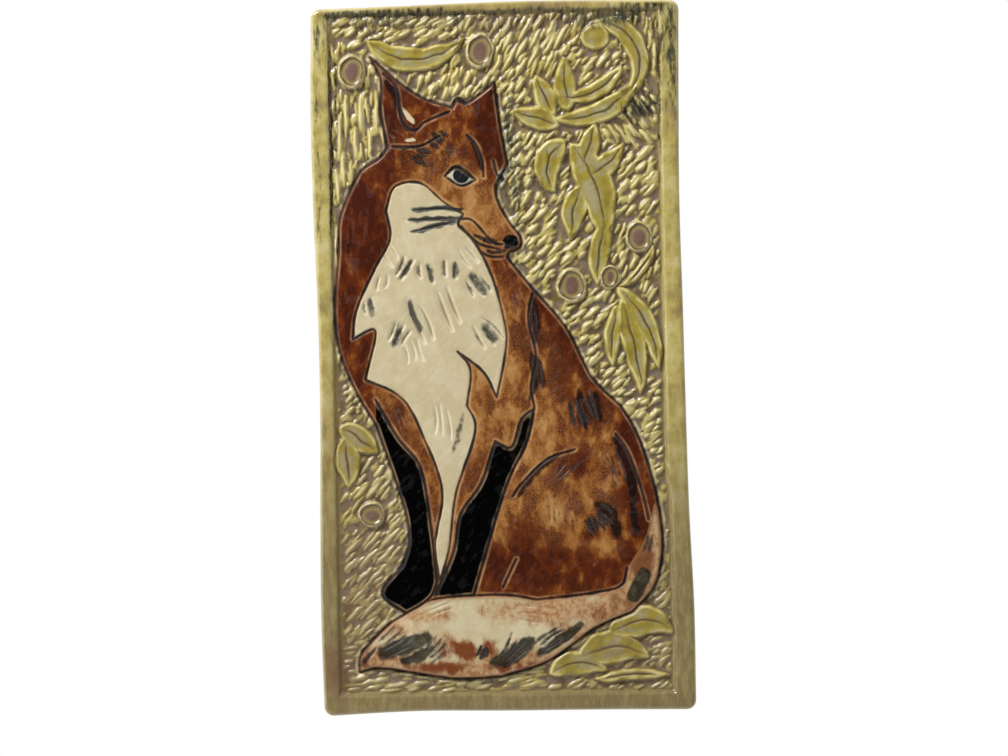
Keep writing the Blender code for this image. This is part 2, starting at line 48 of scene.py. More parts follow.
SIDE_SWAY = {
    "left": (-0.6, 0.3, -0.3, -1.3, -1.1, 0.2, 0.6, -0.6),
    "right": (1.9, 2.0, 0.3, -0.4, -0.9, -1.6, -1.0, 0.0),
    "bottom": (0.4, -1.3, -0.6, -0.2, 0.6),
    "top": (-2.0, -1.2, -0.2, 0.4, 0.0, -0.7),
}


def even_steps(line, step):
    """The same line with points at about equal steps."""
    line = np.asarray(line, dtype=float)
    run = np.concatenate([[0.0], np.cumsum(np.linalg.norm(np.diff(line, axis=0), axis=1))])
    marks = np.linspace(0.0, run[-1], max(1, round(run[-1] / step)) + 1)
    return np.stack([np.interp(marks, run, line[:, k]) for k in (0, 1)], axis=1)


def smooth(points, step):
    """Curve through the points, given again at about equal steps."""
    knots = np.array(points, dtype=float)
    gaps = np.linalg.norm(np.diff(knots, axis=0), axis=1)
    place = np.concatenate([[0.0], np.cumsum(np.sqrt(gaps))])
    slope = np.gradient(knots, place, axis=0)
    fine = np.linspace(0.0, place[-1], 40 * len(knots))
    span = np.clip(np.searchsorted(place, fine, side="right") - 1, 0, len(knots) - 2)
    width = (place[span + 1] - place[span])[:, None]
    s = ((fine - place[span])[:, None]) / width
    curve = (2 * s**3 - 3 * s**2 + 1) * knots[span] + (s**3 - 2 * s**2 + s) * width * slope[span]
    curve += (3 * s**2 - 2 * s**3) * knots[span + 1] + (s**3 - s**2) * width * slope[span + 1]
    return even_steps(curve, step)


def sway(name, share):
    """How far a side leaves the true rectangle, at shares of its length."""
    values = SIDE_SWAY[name]
    places = np.linspace(0.0, 100.0, len(values))
    curve = smooth(np.stack([places, np.array(values)], axis=1), 1.0)
    return np.interp(share * 100.0, curve[:, 0], curve[:, 1])


def slab_ring(inset, step=2.0):
    """Outline of the slab drawn in by the inset."""
    ring = []
    for quarter, (sx, sz) in enumerate(((1, -1), (1, 1), (-1, 1), (-1, -1))):
        centre = (sx * (WIDTH / 2 - CORNER), sz * (HEIGHT / 2 - CORNER))
        for turn in np.radians(np.linspace(-90.0, 0.0, 7) + 90.0 * quarter):
            ring.append((*centre, math.cos(turn), math.sin(turn)))
    ring = np.array(ring)
    sides = []
    for start, end in zip(ring, np.roll(ring, -1, axis=0)):
        count = max(1, round(np.linalg.norm(end[:2] - start[:2]) / step))
        sides.extend(start + (end - start) * k / count for k in range(count))
    sides = np.array(sides)
    plan = sides[:, :2] + sides[:, 2:] * (CORNER - inset)
    across, up = plan[:, 0] / WIDTH + 0.5, plan[:, 1] / HEIGHT + 0.5
    left, right = sway("left", up), sway("right", up)
    bottom, top = sway("bottom", across), sway("top", across)
    moved = np.stack([-left + (right + left) * across, -bottom + (top + bottom) * up], axis=1)
    return plan + moved


BATCH = 3000


def nearest(points, line, reach):
    """Distance to a line, and the share along it, for the points within reach of it."""
    gap = np.full(len(points), reach)
    share = np.zeros(len(points))
    low, high = line.min(axis=0) - reach, line.max(axis=0) + reach
    near = np.flatnonzero(((points > low) & (points < high)).all(axis=1))
    start, along = line[:-1], np.diff(line, axis=0)
    lengths = np.maximum(np.linalg.norm(along, axis=1), 1e-6)
    run = np.concatenate([[0.0], np.cumsum(lengths)])
    for first in range(0, len(near), BATCH):
        some = near[first:first + BATCH]
        offset = points[some][:, None, :] - start[None]
        t = np.clip((offset * along[None]).sum(axis=2) / lengths**2, 0.0, 1.0)
        distance = np.linalg.norm(offset - t[..., None] * along[None], axis=2)
        best = distance.argmin(axis=1)
        rows = np.arange(len(some))
        gap[some] = np.minimum(distance[rows, best], reach)
        share[some] = (run[best] + t[rows, best] * lengths[best]) / run[-1]
    return gap, share


def inside(points, ring):
    """Whether each point lies inside a closed ring."""
    result = np.zeros(len(points), dtype=bool)
    near = np.flatnonzero(((points > ring.min(axis=0)) & (points < ring.max(axis=0))).all(axis=1))
    ahead = np.roll(ring, -1, axis=0)
    rise = np.where(ahead[:, 1] == ring[:, 1], 1.0, ahead[:, 1] - ring[:, 1])
    for first in range(0, len(near), BATCH):
        some = near[first:first + BATCH]
        x, z = points[some, 0][:, None], points[some, 1][:, None]
        crosses = (ring[:, 1] > z) != (ahead[:, 1] > z)
        at = ring[:, 0] + (z - ring[:, 1]) * (ahead[:, 0] - ring[:, 0]) / rise
        result[some] = (crosses & (x < at)).sum(axis=1) % 2 == 1
    return result


def closed(ring):
    """The ring as a line that comes back to its first point."""
    return np.concatenate([ring, ring[:1]])


def depth_inside(points, ring, reach=9.0):
    """Distance to a ring in mm, above zero inside it."""
    gap, _ = nearest(points, closed(ring), reach)
    return np.where(inside(points, ring), gap, -gap)


def ease(value, low, high):
    """Smooth rise from 0 at low to 1 at high."""
    share = np.clip((value - low) / (high - low), 0.0, 1.0)
    return share * share * (3 - 2 * share)


# The sunk field. The ground inside the border was pared down about two millimetres, and a thin line
# was scored round it with the point of a knife.
FIELD = np.array((
    (-88.2, -176.6), (88.5, -178.3), (88.5, -82.5), (86.5, -60.0), (86.5, 182.5), (-88.2, 182.5),
))
GROUND = -2.2
field_sides = [even_steps(np.array(side), 3.0)[:-1] for side in zip(FIELD, np.roll(FIELD, -1, axis=0))]
field_line = np.concatenate(field_sides)

# The fox. It sits with its body to the left and looks back over its shoulder. It was left standing as
# the ground was cut away, softly rounded, and its colours are parted by scored lines.
FOX_HEIGHT = 330.0
FOX_FOOT = np.array((0.0, -169.0))
FOX_OUTLINE = {
    "left_ear": ((-17.5, 85.1), (-18.5, 91.0), (-18.4, 95.9), (-20.1, 99.7)),
    "left_ear_edge": ((-20.1, 99.7), (-15.0, 95.1), (-11.3, 92.7), (-7.0, 91.3)),
    "crown": ((-7.0, 91.3), (-6.1, 92.7), (-5.5, 91.9), (-4.3, 92.2), (-0.2, 95.2)),
    "right_ear": ((-0.2, 95.2), (0.6, 88.0), (1.6, 82.2)),
    "bridge": ((1.6, 82.2), (-0.4, 78.0), (1.7, 72.8), (3.4, 70.6)),
    "nose": ((3.4, 70.6), (3.6, 69.4), (3.1, 68.5), (1.7, 68.0)),
    "chin": ((1.7, 68.0), (1.3, 67.3), (2.2, 65.9)),
    "back": ((2.2, 65.9), (4.9, 62.5), (10.5, 55.7), (14.7, 47.4), (19.1, 42.9)),
    "haunch": ((19.1, 42.9), (21.5, 38.6), (24.5, 28.3), (25.2, 20.1), (23.7, 13.9), (20.2, 10.1)),
    "tail_root": ((20.2, 10.1), (14.5, 7.7), (6.3, 2.3), (-1.0, 0.1)),
    "tail_under": ((-1.0, 0.1), (-7.9, -0.1), (-21.3, 1.8), (-23.6, 1.2)),
    "tail_tip": ((-23.6, 1.2), (-23.4, 3.8), (-18.5, 9.0), (-16.0, 10.5)),
    "paw": ((-16.0, 10.5), (-17.6, 11.6), (-19.2, 12.6), (-19.8, 13.8), (-19.2, 15.2), (-16.4, 18.2)),
    "foreleg": ((-16.4, 18.2), (-15.4, 21.3), (-15.6, 25.6), (-20.2, 40.7)),
    "flank": ((-20.2, 40.7), (-23.7, 46.9), (-26.0, 53.5), (-26.4, 59.8), (-25.7, 68.3)),
    "nape": ((-25.7, 68.3), (-25.3, 74.1), (-22.8, 79.8), (-21.7, 81.6), (-18.8, 83.5), (-17.5, 85.1)),
}
FOX_LINES = {
    "cheek": ((-17.9, 75.0), (-16.4, 78.7), (-12.6, 79.3), (-8.4, 75.9), (-5.6, 74.2)),
    "throat": ((-5.6, 74.2), (-6.4, 72.5), (-4.1, 70.0), (-1.2, 64.1), (0.3, 58.6)),
    "breast": ((0.3, 58.6), (0.9, 54.6), (0.5, 50.7), (-0.8, 44.8)),
    "bib_hem": ((-0.8, 44.8), (-2.8, 48.8), (-6.9, 52.2)),
    "bib_fold": ((-6.9, 52.2), (-5.0, 49.5), (-5.6, 43.5)),
    "chest_right": ((-5.6, 43.5), (-4.3, 40.4), (-7.7, 29.3), (-9.0, 20.4), (-10.3, 16.0)),
    "chest_left": ((-10.6, 16.0), (-11.1, 21.3), (-9.8, 30.0), (-12.6, 38.6), (-16.0, 45.0), (-21.7, 48.0)),
    "bib_corner": ((-21.7, 48.0), (-20.1, 56.0), (-23.6, 54.5)),
    "bib_side": ((-23.6, 54.5), (-23.0, 58.8), (-19.8, 65.8), (-17.3, 70.5), (-17.9, 75.0)),
    "left_sock": ((-20.2, 44.8), (-16.6, 38.5), (-13.4, 34.3), (-11.6, 23.6), (-10.9, 15.6)),
    "left_paw": ((-10.9, 15.6), (-11.6, 13.6), (-13.0, 12.2), (-16.0, 10.5)),
    "right_sock": ((5.2, 42.9), (4.0, 37.8), (0.8, 31.3), (-5.1, 13.2)),
    "right_sock_inside": ((-11.3, 13.3), (-8.2, 20.4), (-6.9, 26.4), (-3.7, 31.0), (-1.2, 37.8)),
    "right_sock_top": ((-1.2, 37.8), (1.2, 36.7), (3.2, 41.4), (5.2, 42.9)),
    "tail_top": ((-13.0, 12.2), (-10.9, 12.8), (0.5, 13.1), (5.0, 12.3)),
    "tail_bend": ((5.0, 12.3), (14.5, 13.3), (18.6, 14.4), (19.5, 17.1)),
    "ear_fold": ((-17.9, 96.9), (-15.9, 94.7), (-15.0, 89.2), (-13.1, 87.6), (-11.5, 88.9), (-7.5, 90.6)),
    "ear_base": ((-16.7, 85.2), (-12.2, 85.2), (-9.1, 86.7)),
    "eye_top": ((-8.4, 80.3), (-6.6, 81.7), (-3.5, 79.6)),
    "eye_under": ((-3.5, 79.6), (-5.8, 78.7), (-8.4, 80.3)),
    "brow": ((-4.8, 86.8), (-3.3, 85.2), (-2.4, 82.8), (-2.2, 80.1)),
    "mouth": ((-6.0, 73.4), (-4.3, 73.2), (-0.7, 69.4), (0.5, 69.2)),
    "lip": ((-6.0, 72.2), (-3.3, 69.5), (0.3, 68.3)),
    "jaw": ((-2.8, 68.0), (-1.4, 67.3), (0.6, 67.2)),
    "shoulder": ((5.2, 61.3), (4.5, 57.5), (5.6, 51.0), (4.7, 46.5), (5.2, 42.9)),
    "haunch_fold": ((1.4, 28.9), (2.7, 30.7), (7.2, 34.8), (11.5, 36.2)),
    "hind_foot": ((1.8, 18.9), (-0.4, 14.4)),
    "rump": ((18.0, 38.6), (19.8, 36.0), (22.2, 29.0), (23.1, 24.8)),
    "far_brow": ((-0.6, 82.6), (0.0, 80.4), (0.9, 79.6)),
}


def fox_place(points):
    """Hundredths of the fox's height turned into millimetres on the plaque."""
    return np.array(points, dtype=float) * FOX_HEIGHT / 100 + FOX_FOOT


def fox_disc(x, z, radius, flat=1.0):
    """Closed line around a round spot of the fox."""
    angle = np.linspace(0.0, 2 * math.pi, 17)
    return fox_place(np.stack([x + radius * np.cos(angle), z + radius * flat * np.sin(angle)], axis=1))


def joined(*parts):
    """Ring made of named outlines and lines, end to end."""
    return np.concatenate([smooth(fox_place(part), 2.0)[:-1] for part in parts])


fox_ring = joined(*FOX_OUTLINE.values())
fox_lines = {name: smooth(fox_place(line), 1.0) for name, line in FOX_LINES.items()}
pupil, nose_ball = fox_disc(-5.8, 80.35, 1.32, 0.95), fox_disc(1.9, 69.6, 1.35, 0.9)
far_eye = fox_place(((-0.4, 79.0), (0.0, 80.8), (1.6, 82.0), (1.6, 80.0), (0.7, 78.4), (-0.4, 79.0)))
inner, outer = FOX_LINES, FOX_OUTLINE
cream_ring = joined(
    inner["cheek"], inner["throat"], inner["breast"], inner["bib_hem"], inner["bib_fold"],
    inner["chest_right"], inner["chest_left"], inner["bib_corner"], inner["bib_side"],
)
left_sock = joined(
    inner["left_sock"], inner["left_paw"], outer["paw"], outer["foreleg"],
    (outer["foreleg"][-1], inner["left_sock"][0]),
)
right_sock = joined(
    inner["right_sock"], ((-5.1, 13.2), (-11.3, 13.3)), inner["right_sock_inside"],
    inner["right_sock_top"],
)
tail_ring = joined(
    inner["tail_top"], inner["tail_bend"], ((19.5, 17.1), (22.5, 22.0), (24.2, 27.5), (25.1, 22.0)),
    ((25.1, 22.0), (25.0, 18.0), (23.7, 13.9), (20.2, 10.1)), outer["tail_root"],
    outer["tail_under"], outer["tail_tip"], ((-16.0, 10.5), (-13.0, 12.2)),
)
eye_ring = joined(inner["eye_top"], inner["eye_under"])

# Leaves and berries. Each leaf bends evenly and comes to a point. Each berry is a ring of clay round a
# dished middle. They stand almost to the border's level.
LEAVES = (
    (-68, 169, -46, 92, 58, 13), (52, 176, 4, -146, 58, 11), (74, 143, -128, -62, 50, 11),
    (67, 153, -122, -66, 42, 8), (38, 129, 98, -10, 29, 12), (31, 127, 118, -8, 24, 11),
    (33, 122, 158, 14, 27, 12), (37, 113, 200, 112, 32, 14), (45, 99, 70, 8, 25, 11),
    (48, 94, 26, 34, 26, 11), (39, 112, -50, -46, 56, 19), (45, 90, 242, 32, 30, 13),
    (58, 72, -112, 24, 36, 11), (62, 36, -42, -44, 50, 11), (64, 30, -72, -14, 52, 12),
    (62, 26, -104, 16, 32, 9), (-86, -35, -30, -12, 25, 13), (-84, -40, -78, -14, 28, 13),
    (22, -168, 38, -70, 33, 13), (38, -161, 40, -78, 40, 17), (55, -148, 48, -92, 37, 17),
    (46, -172, 14, -22, 40, 6), (81, 58, -100, -60, 30, 5),
)
LOBE = (53, 168, 7.0, 7.0)
BERRIES = (
    (-76, 152, 5.5, 7.0), (-8, 162, 5.5, 7.0), (38, 37, 6.0, 7.0), (74, 62, 5.5, 6.0),
    (-70, -82, 5.0, 5.2), (58, 41, 3.6, 5.0),
)
BERRY_RIM = 1.35


def leaf(x, z, heading, turn, length, width):
    """Outline and middle line of a leaf."""
    count = max(8, round(length / 1.5))
    share = np.linspace(0.0, 1.0, count + 1)
    angle = np.radians(heading + turn * (share[:-1] + share[1:]) / 2)
    steps = np.stack([np.cos(angle), np.sin(angle)], axis=1) * length / count
    middle = np.concatenate([[(x, z)], np.array((x, z)) + np.cumsum(steps, axis=0)])
    angle = np.radians(heading + turn * share)
    side = np.stack([-np.sin(angle), np.cos(angle)], axis=1)
    half = (width / 2 * np.sin(math.pi * share**0.85) ** 0.8)[1:-1, None]
    left, right = middle[1:-1] + side[1:-1] * half, middle[1:-1] - side[1:-1] * half
    return np.concatenate([middle[:1], left, middle[-1:], right[::-1]]), middle


def oval(x, z, half_width, half_height):
    """Ring of points round a berry."""
    angle = np.arange(28) * 2 * math.pi / 28
    return np.stack([x + half_width * np.cos(angle), z + half_height * np.sin(angle)], axis=1)


leaves = [leaf(*values) for values in LEAVES]
leaf_rings = [ring for ring, _ in leaves] + [oval(*LOBE)]
berry_rims = [oval(x, z, a * BERRY_RIM, b * BERRY_RIM) for x, z, a, b in BERRIES]

# The ground. A loop tool took the clay out in short strokes and left ridges standing between them. The
# ridges lean with their patch, and smaller ones fill what the first pass left. All are a little ragged.
PATCHES = (
    (-79, 130, 91, 27, 3.8), (-80, 80, 92, 20, 3.8), (-44, 178, 30, 10, 3.8), (-34, 150, 62, 11, 3.8),
    (0, 178, 62, 12, 3.8), (22, 168, 60, 15, 3.8), (57, 156, 50, 11, 3.8), (81, 168, 86, 18, 3.8),
    (76, 131, -52, 11, 3.8), (12, 130, 50, 10, 3.8), (16, 98, 52, 10, 4.0), (25, 62, 42, 11, 3.8),
    (74, 92, 48, 11, 3.8), (78, 44, 60, 11, 3.8), (36, 8, 38, 11, 3.8), (80, -50, 36, 8, 3.8),
    (84, -110, 34, 6, 3.8), (-80, -20, 48, 11, 4.1), (-66, -60, 46, 12, 4.1), (-75, -115, 44, 15, 4.9),
    (-60, -172, 12, 16, 4.1),
)
PATCH_CENTRES = np.array([(x, z) for x, z, *_ in PATCHES])
RIDGE_HALF, RIDGE_END_GAP = 1.9, 2.2
SLIVER_HALF, SLIVER_ROOM, SLIVER_GAP = 1.3, 0.7, 1.6
LONG_TRIES, ALL_TRIES = 8000, 14000
ROOM_X, ROOM_Z = 100, 190
keep_clear = [fox_ring] + berry_rims + leaf_rings
dice = random.Random(11)


def open_room():
    """Clear distance to everything else on the face, on a grid of whole millimetres."""
    xs, zs = np.arange(-ROOM_X, ROOM_X + 1.0), np.arange(-ROOM_Z, ROOM_Z + 1.0)
    points = np.stack(np.meshgrid(xs, zs), axis=-1).reshape(-1, 2)
    room = depth_inside(points, FIELD)
    for ring in keep_clear:
        room = np.minimum(room, -depth_inside(points, ring))
    return room.reshape(len(zs), len(xs))


def room_at(points):
    """Clear distance at each point, read between the grid's places."""
    x, z = points[:, 0] + ROOM_X, points[:, 1] + ROOM_Z
    i, k = np.clip(x.astype(int), 0, 2 * ROOM_X - 1), np.clip(z.astype(int), 0, 2 * ROOM_Z - 1)
    u, v = x - i, z - k
    low = room[k, i] * (1 - u) + room[k, i + 1] * u
    return low * (1 - v) + (room[k + 1, i] * (1 - u) + room[k + 1, i + 1] * u) * v


def patch_of(points):
    """Which patch each point belongs to: the one whose middle is nearest."""
    return np.linalg.norm(points[:, None] - PATCH_CENTRES[None], axis=2).argmin(axis=1)


def ridge_rows():
    """The main ridges, in rows that lean with their patch."""
    strokes = []
    for index, (x, z, heading, length, spacing) in enumerate(PATCHES):
        along = np.array((math.cos(math.radians(heading)), math.sin(math.radians(heading))))
        across = np.array((-along[1], along[0]))
        for row in range(-18, 19):
            for column in range(-8, 9):
                shift = (row % 2) * (length + RIDGE_END_GAP) / 2 + dice.uniform(-1.5, 1.5)
                middle = PATCH_CENTRES[index] + across * (row * spacing + dice.uniform(-0.5, 0.5))
                middle = middle + along * (column * (length + RIDGE_END_GAP) + shift)
                reach = length / 2 * dice.uniform(0.75, 1.15)
                bow = across * dice.uniform(-0.6, 0.6)
                if patch_of(middle[None])[0] != index:
                    continue
                for share in (1.0, 0.75, 0.55):
                    ends = along * reach * share
                    belly = (middle - ends * 0.4 + bow, middle + ends * 0.4 + bow)
                    stroke = np.array((middle - ends, *belly, middle + ends))
                    if room_at(even_steps(stroke, 2.0)).min() > RIDGE_HALF:
                        strokes.append(stroke)
                        break
    return strokes


def small_ridges(main):
    """Short slivers of clay in the gaps that are left."""
    taken = np.concatenate([even_steps(stroke, 1.5) for stroke in main])
    strokes = []
    for attempt in range(ALL_TRIES):
        middle = np.array((dice.uniform(-87, 86), dice.uniform(-176, 181)))
        heading = dice.uniform(-9, 9)
        reach = dice.uniform(3.8, 7.2) if attempt < LONG_TRIES else dice.uniform(1.6, 4.0)
        if room_at(middle[None])[0] < SLIVER_ROOM:
            continue
        heading += PATCHES[patch_of(middle[None])[0]][2]
        ends = np.array((math.cos(math.radians(heading)), math.sin(math.radians(heading)))) * reach
        tests = even_steps((middle - ends, middle, middle + ends), 1.5)
        if room_at(tests).min() < SLIVER_ROOM:
            continue
        if np.linalg.norm(taken[:, None] - tests[None], axis=2).min() < SLIVER_GAP:
            continue
        strokes.append(tests)
        taken = np.concatenate([taken, tests])
    return strokes


room = open_room()
ridges = ridge_rows()
slivers = small_ridges(ridges)

# Hair marks. Bunches of short scored strokes on the bib, shoulder, haunch, neck and tail, with dark glaze
# brushed over many of them. Each row gives the bunch's place, its heading, length, number of strokes,
# spacing, how far they fan out, how deep they are cut and how dark they are.
TUFTS = (
    (-51, 47, 64, 15, 2, 4.6, 14, 1.6, 0.4), (-39, 45, -80, 13, 2, 5.2, 26, 1.6, 0.4),
    (-26, 46, -86, 12, 2, 5.0, 10, 1.6, 0.4), (-69, 28, -78, 11, 2, 4.2, 14, 1.3, 0.4),
    (-54, 12, 62, 16, 3, 4.2, 14, 1.4, 0.3), (-42, 20, -70, 28, 2, 5.0, 6, 1.7, 0.0),
    (-12, 38, -58, 16, 3, 4.2, 18, 1.5, 0.4), (-7, 12, -54, 18, 3, 4.6, 20, 1.6, 0.3),
    (-32, -34, -84, 20, 3, 3.6, 10, 0.9, 0.0), (-46, 2, -74, 16, 3, 4.0, 10, 1.0, 0.0),
    (-26, 24, -70, 24, 2, 5.4, 8, 1.6, 0.0), (-58, 56, -60, 14, 2, 4.2, 8, 1.0, 0.0),
    (-15, 55, -52, 16, 3, 4.2, 10, 1.1, 0.0), (-62, 40, -100, 12, 2, 3.6, 8, 1.0, 0.0),
    (43, -28, -76, 20, 5, 3.0, 8, 0.8, 0.7), (30, -84, -76, 13, 5, 2.6, 26, 0.9, 0.25),
    (50, -87, -52, 15, 6, 2.6, 30, 0.8, 0.8), (17, 20, -86, 18, 2, 2.0, 8, 0.7, 0.8),
    (18, -6, -84, 20, 3, 2.0, 8, 0.7, 0.8), (-31, 116, -38, 10, 4, 2.2, 40, 0.6, 0.7),
    (-40, 106, -20, 11, 4, 2.2, 24, 0.6, 0.8), (-24, 110, -58, 8, 3, 2.4, 20, 0.6, 0.4),
    (-54, 119, -30, 10, 2, 2.4, 14, 0.5, 0.3), (-60, -150, 34, 22, 5, 3.0, 22, 0.6, 0.5),
    (-38, -154, 46, 16, 4, 2.4, 16, 0.6, 0.5), (2, -156, 46, 20, 4, 3.0, 20, 0.6, 0.6),
    (22, -150, 34, 22, 3, 2.6, 8, 0.6, 0.6), (-14, -156, 64, 12, 2, 3.0, 10, 0.6, 0.8),
    (14, -136, -8, 18, 3, 3.4, 10, 0.6, 0.0), (-36, -132, 24, 18, 3, 3.0, 10, 0.5, 0.0),
    (60, -62, -72, 24, 3, 3.0, 6, 0.7, 0.4), (34, -60, 226, 14, 3, 2.6, 10, 0.6, 0.4),
    (-53, -32, -66, 14, 3, 2.6, 14, 0.6, 0.3), (10, 30, -70, 14, 3, 2.6, 12, 0.6, 0.3),
    (76, 130, -56, 17, 5, 3.6, 22, 0.9, 0.5), (-64, 176, -86, 10, 6, 3.6, 6, 0.6, 0.35),
    (76, -100, 76, 14, 2, 2.8, 10, 0.6, 0.5), (-73, -154, 54, 12, 3, 2.4, 16, 0.7, 0.4),
)
WHISKERS = (
    ((-47, 78), (-33, 79), (-17, 78)), ((-50, 73), (-34, 73.5), (-18, 74)),
    ((-48, 66.5), (-34, 69.5), (-20, 72.5)),
)
WHISKER_CUT, WHISKER_HALF, WHISKER_BRUSH = 0.9, 0.9, 1.3
# Places in the ear where the glaze ran thin: start, middle, end and half width.
EAR_GAPS = (((-50, 134), (-46, 127), (-42, 122), 2.6), ((-50, 115), (-46, 115.5), (-42, 115), 1.9))

# Broad touches of a loaded brush: start, middle, end, half width and strength.
BRUSHES = (
    ((-70, -156), (-56, -152), (-38, -146), 6.0, 1.0), ((-58, -160), (-46, -157), (-38, -151), 4.0, 0.9),
    ((-10, -162), (4, -157), (15, -147), 6.0, 1.0), ((14, -159), (27, -151), (42, -140), 3.6, 1.0),
    ((66, -131), (70, -122), (75, -113), 4.6, 1.5), ((46, -78), (56, -83), (60, -99), 4.0, 0.9),
    ((40, -16), (42, -29), (45, -42), 2.6, 0.8), ((49, -18), (50, -27), (52, -36), 3.0, 0.9),
    ((58, -42), (66, -58), (69, -80), 3.6, 1.0), ((66, -76), (69, -88), (69, -98), 2.6, 0.8),
    ((6, -78), (14, -64), (31, -51), 2.6, 0.85), ((17, 34), (19, 18), (17, 4), 2.8, 0.85),
    ((16, 4), (18, -10), (14, -26), 2.6, 0.8), ((-77, 78), (-79, 62), (-80, 48), 1.6, 0.5),
    ((-46, 54), (-49, 47), (-54, 41), 2.4, 0.6), ((-39, 51), (-36, 45), (-36, 39), 2.6, 0.6),
    ((-24, 52), (-23, 46), (-24, 41), 2.8, 0.6), ((-69, 33), (-68, 28), (-67, 22), 2.8, 0.6),
    ((-54, 21), (-54, 14), (-58, 5), 3.4, 0.6), ((-48, 33), (-46, 24), (-41, 13), 2.2, 0.8),
    ((-17, 46), (-11, 39), (-7, 31), 3.0, 0.62), ((-11, 19), (-6, 13), (-1, 7), 4.0, 0.62),
    ((-20, -28), (-23, -40), (-27, -52), 2.2, 0.6), ((-40, 99), (-32, 104), (-26, 112), 1.8, 0.45),
    ((-58, 128), (-54, 119), (-51, 112), 1.6, 0.4), ((-56, -36), (-50, -50), (-44, -64), 2.2, 0.35),
    ((-59, 149), (-53, 138), (-50, 126), 2.4, 1.2), ((-51, 129), (-48, 122), (-41, 120), 1.4, 1.2),
    ((-16, 117), (-11, 110), (-8, 97), 1.8, 1.0), ((-14, 65), (-7, 62), (0, 59), 2.0, 1.0),
    ((-8, 57), (-1, 55), (4, 56), 1.6, 0.9), ((2.6, 97), (3, 94.5), (2.4, 92.5), 1.1, 1.0),
    ((-5, 136), (-1, 140), (1, 130), 2.0, 0.7), ((-24, 132), (-19, 137), (-14, 131), 1.8, 0.8),
    ((-88, 177), (-87.5, 120), (-88.5, 58), 1.3, 0.8), ((-85, 172), (-84.5, 140), (-85, 96), 1.0, 0.6),
    ((86, 180), (86.5, 150), (86, 100), 1.4, 0.6), ((9, 108), (8, 96), (11, 80), 2.2, 0.5),
    ((-57, 111), (-46, 111), (-36, 113), 1.1, 0.8), ((-80, -164), (-75, -158), (-68, -151), 2.2, 0.6),
)


def bunch(x, z, heading, length, count, spacing, fan, depth, dark):
    """The strokes of one bunch, each with its cut depth, darkness and half width."""
    strokes = []
    for k in range(count):
        place = k - (count - 1) / 2
        angle = math.radians(heading + fan * place / max(count, 2) + dice.uniform(-4, 4))
        turn = math.radians(heading)
        centre = np.array((x, z)) + np.array((-math.sin(turn), math.cos(turn))) * place * spacing
        centre = centre + np.array((math.cos(turn), math.sin(turn))) * dice.uniform(-0.14, 0.14) * length
        along = np.array((math.cos(angle), math.sin(angle))) * length / 2 * dice.uniform(0.65, 1.0)
        bow = np.array((-math.sin(angle), math.cos(angle))) * dice.uniform(-0.9, 0.9)
        line = smooth((centre - along, centre + bow, centre + along), 1.2)
        strokes.append((line, depth, dark, 0.3 * spacing))
    return strokes


hairs = [stroke for tuft in TUFTS for stroke in bunch(*tuft)]
hairs += [(smooth(line, 1.2), WHISKER_CUT, 1.0, WHISKER_HALF) for line in WHISKERS]
brushes = [(smooth(row[:3], 1.5), row[3], row[4]) for row in BRUSHES]
brushes += [(smooth(line, 1.5), WHISKER_BRUSH, 1.0) for line in WHISKERS]
gaps_in_ear = [(smooth(row[:3], 1.5), row[3]) for row in EAR_GAPS]

# The carved face. It is the slab's own surface, with the cuts pressed in and the fox swelling out, so its
# points follow every cut and edge in rows, as the tool did. The sides and the flat back close the slab.
# Heights and depths are in millimetres.
FOX_SWELL, FOX_RISE = 1.6, 0.5
NOSE_SWELL, EYE_SWELL = 0.7, 0.45
OUTLINE_CUT, OUTLINE_HALF = 1.5, 1.3
LINE_CUT, LINE_HALF, VEIN_CUT = 0.9, 1.0, 0.6
CREST, CREST_FALL = 1.75, 0.6
LOW_END = 130.0
DAB_HALF = 1.9
FAR = -9.0
FILL_STEP, CROWD = 1.35, 0.32
REACH_X, REACH_Z = 105.0, 195.0
GLAZE_STOP, GLAZE_FADE = 7.5, 3.0


def groove(gap, depth, half):
    """Rounded groove, filled a little by glaze."""
    return depth * 0.5 * (1 + np.cos(math.pi * np.clip(gap / half, 0.0, 1.0)))


def along_and_ends(points, line, half, skew=1.0):
    """How near the middle of a tapering stroke each point is, from 0 to 1."""
    gap, share = nearest(points, line, half + 0.5)
    return np.clip(1 - gap / half, 0.0, 1.0) * np.sin(math.pi * np.clip(share, 0.0, 1.0) ** skew) ** 0.6


def unsteady(points, amount, size):
    """The points moved a little, as a hand wavers."""
    drift = [
        (noise.noise((x / size, z / size, 1.7)), noise.noise((x / size, z / size, 6.2)))
        for x, z in points
    ]
    return points + amount * np.array(drift)


def raked(points):
    """Fine tool marks left in the floor of the ground, along each patch's own direction."""
    owner = patch_of(points)
    turn = np.radians([PATCHES[k][2] for k in owner])
    offset = points - PATCH_CENTRES[owner]
    along = offset[:, 0] * np.cos(turn) + offset[:, 1] * np.sin(turn)
    across = offset[:, 1] * np.cos(turn) - offset[:, 0] * np.sin(turn)
    marks = [noise.noise((u / 6.5, v / 1.9, k * 5.3)) for u, v, k in zip(along, across, owner)]
    return np.clip(np.array(marks) * 1.8 - 0.02, 0.0, 0.55)


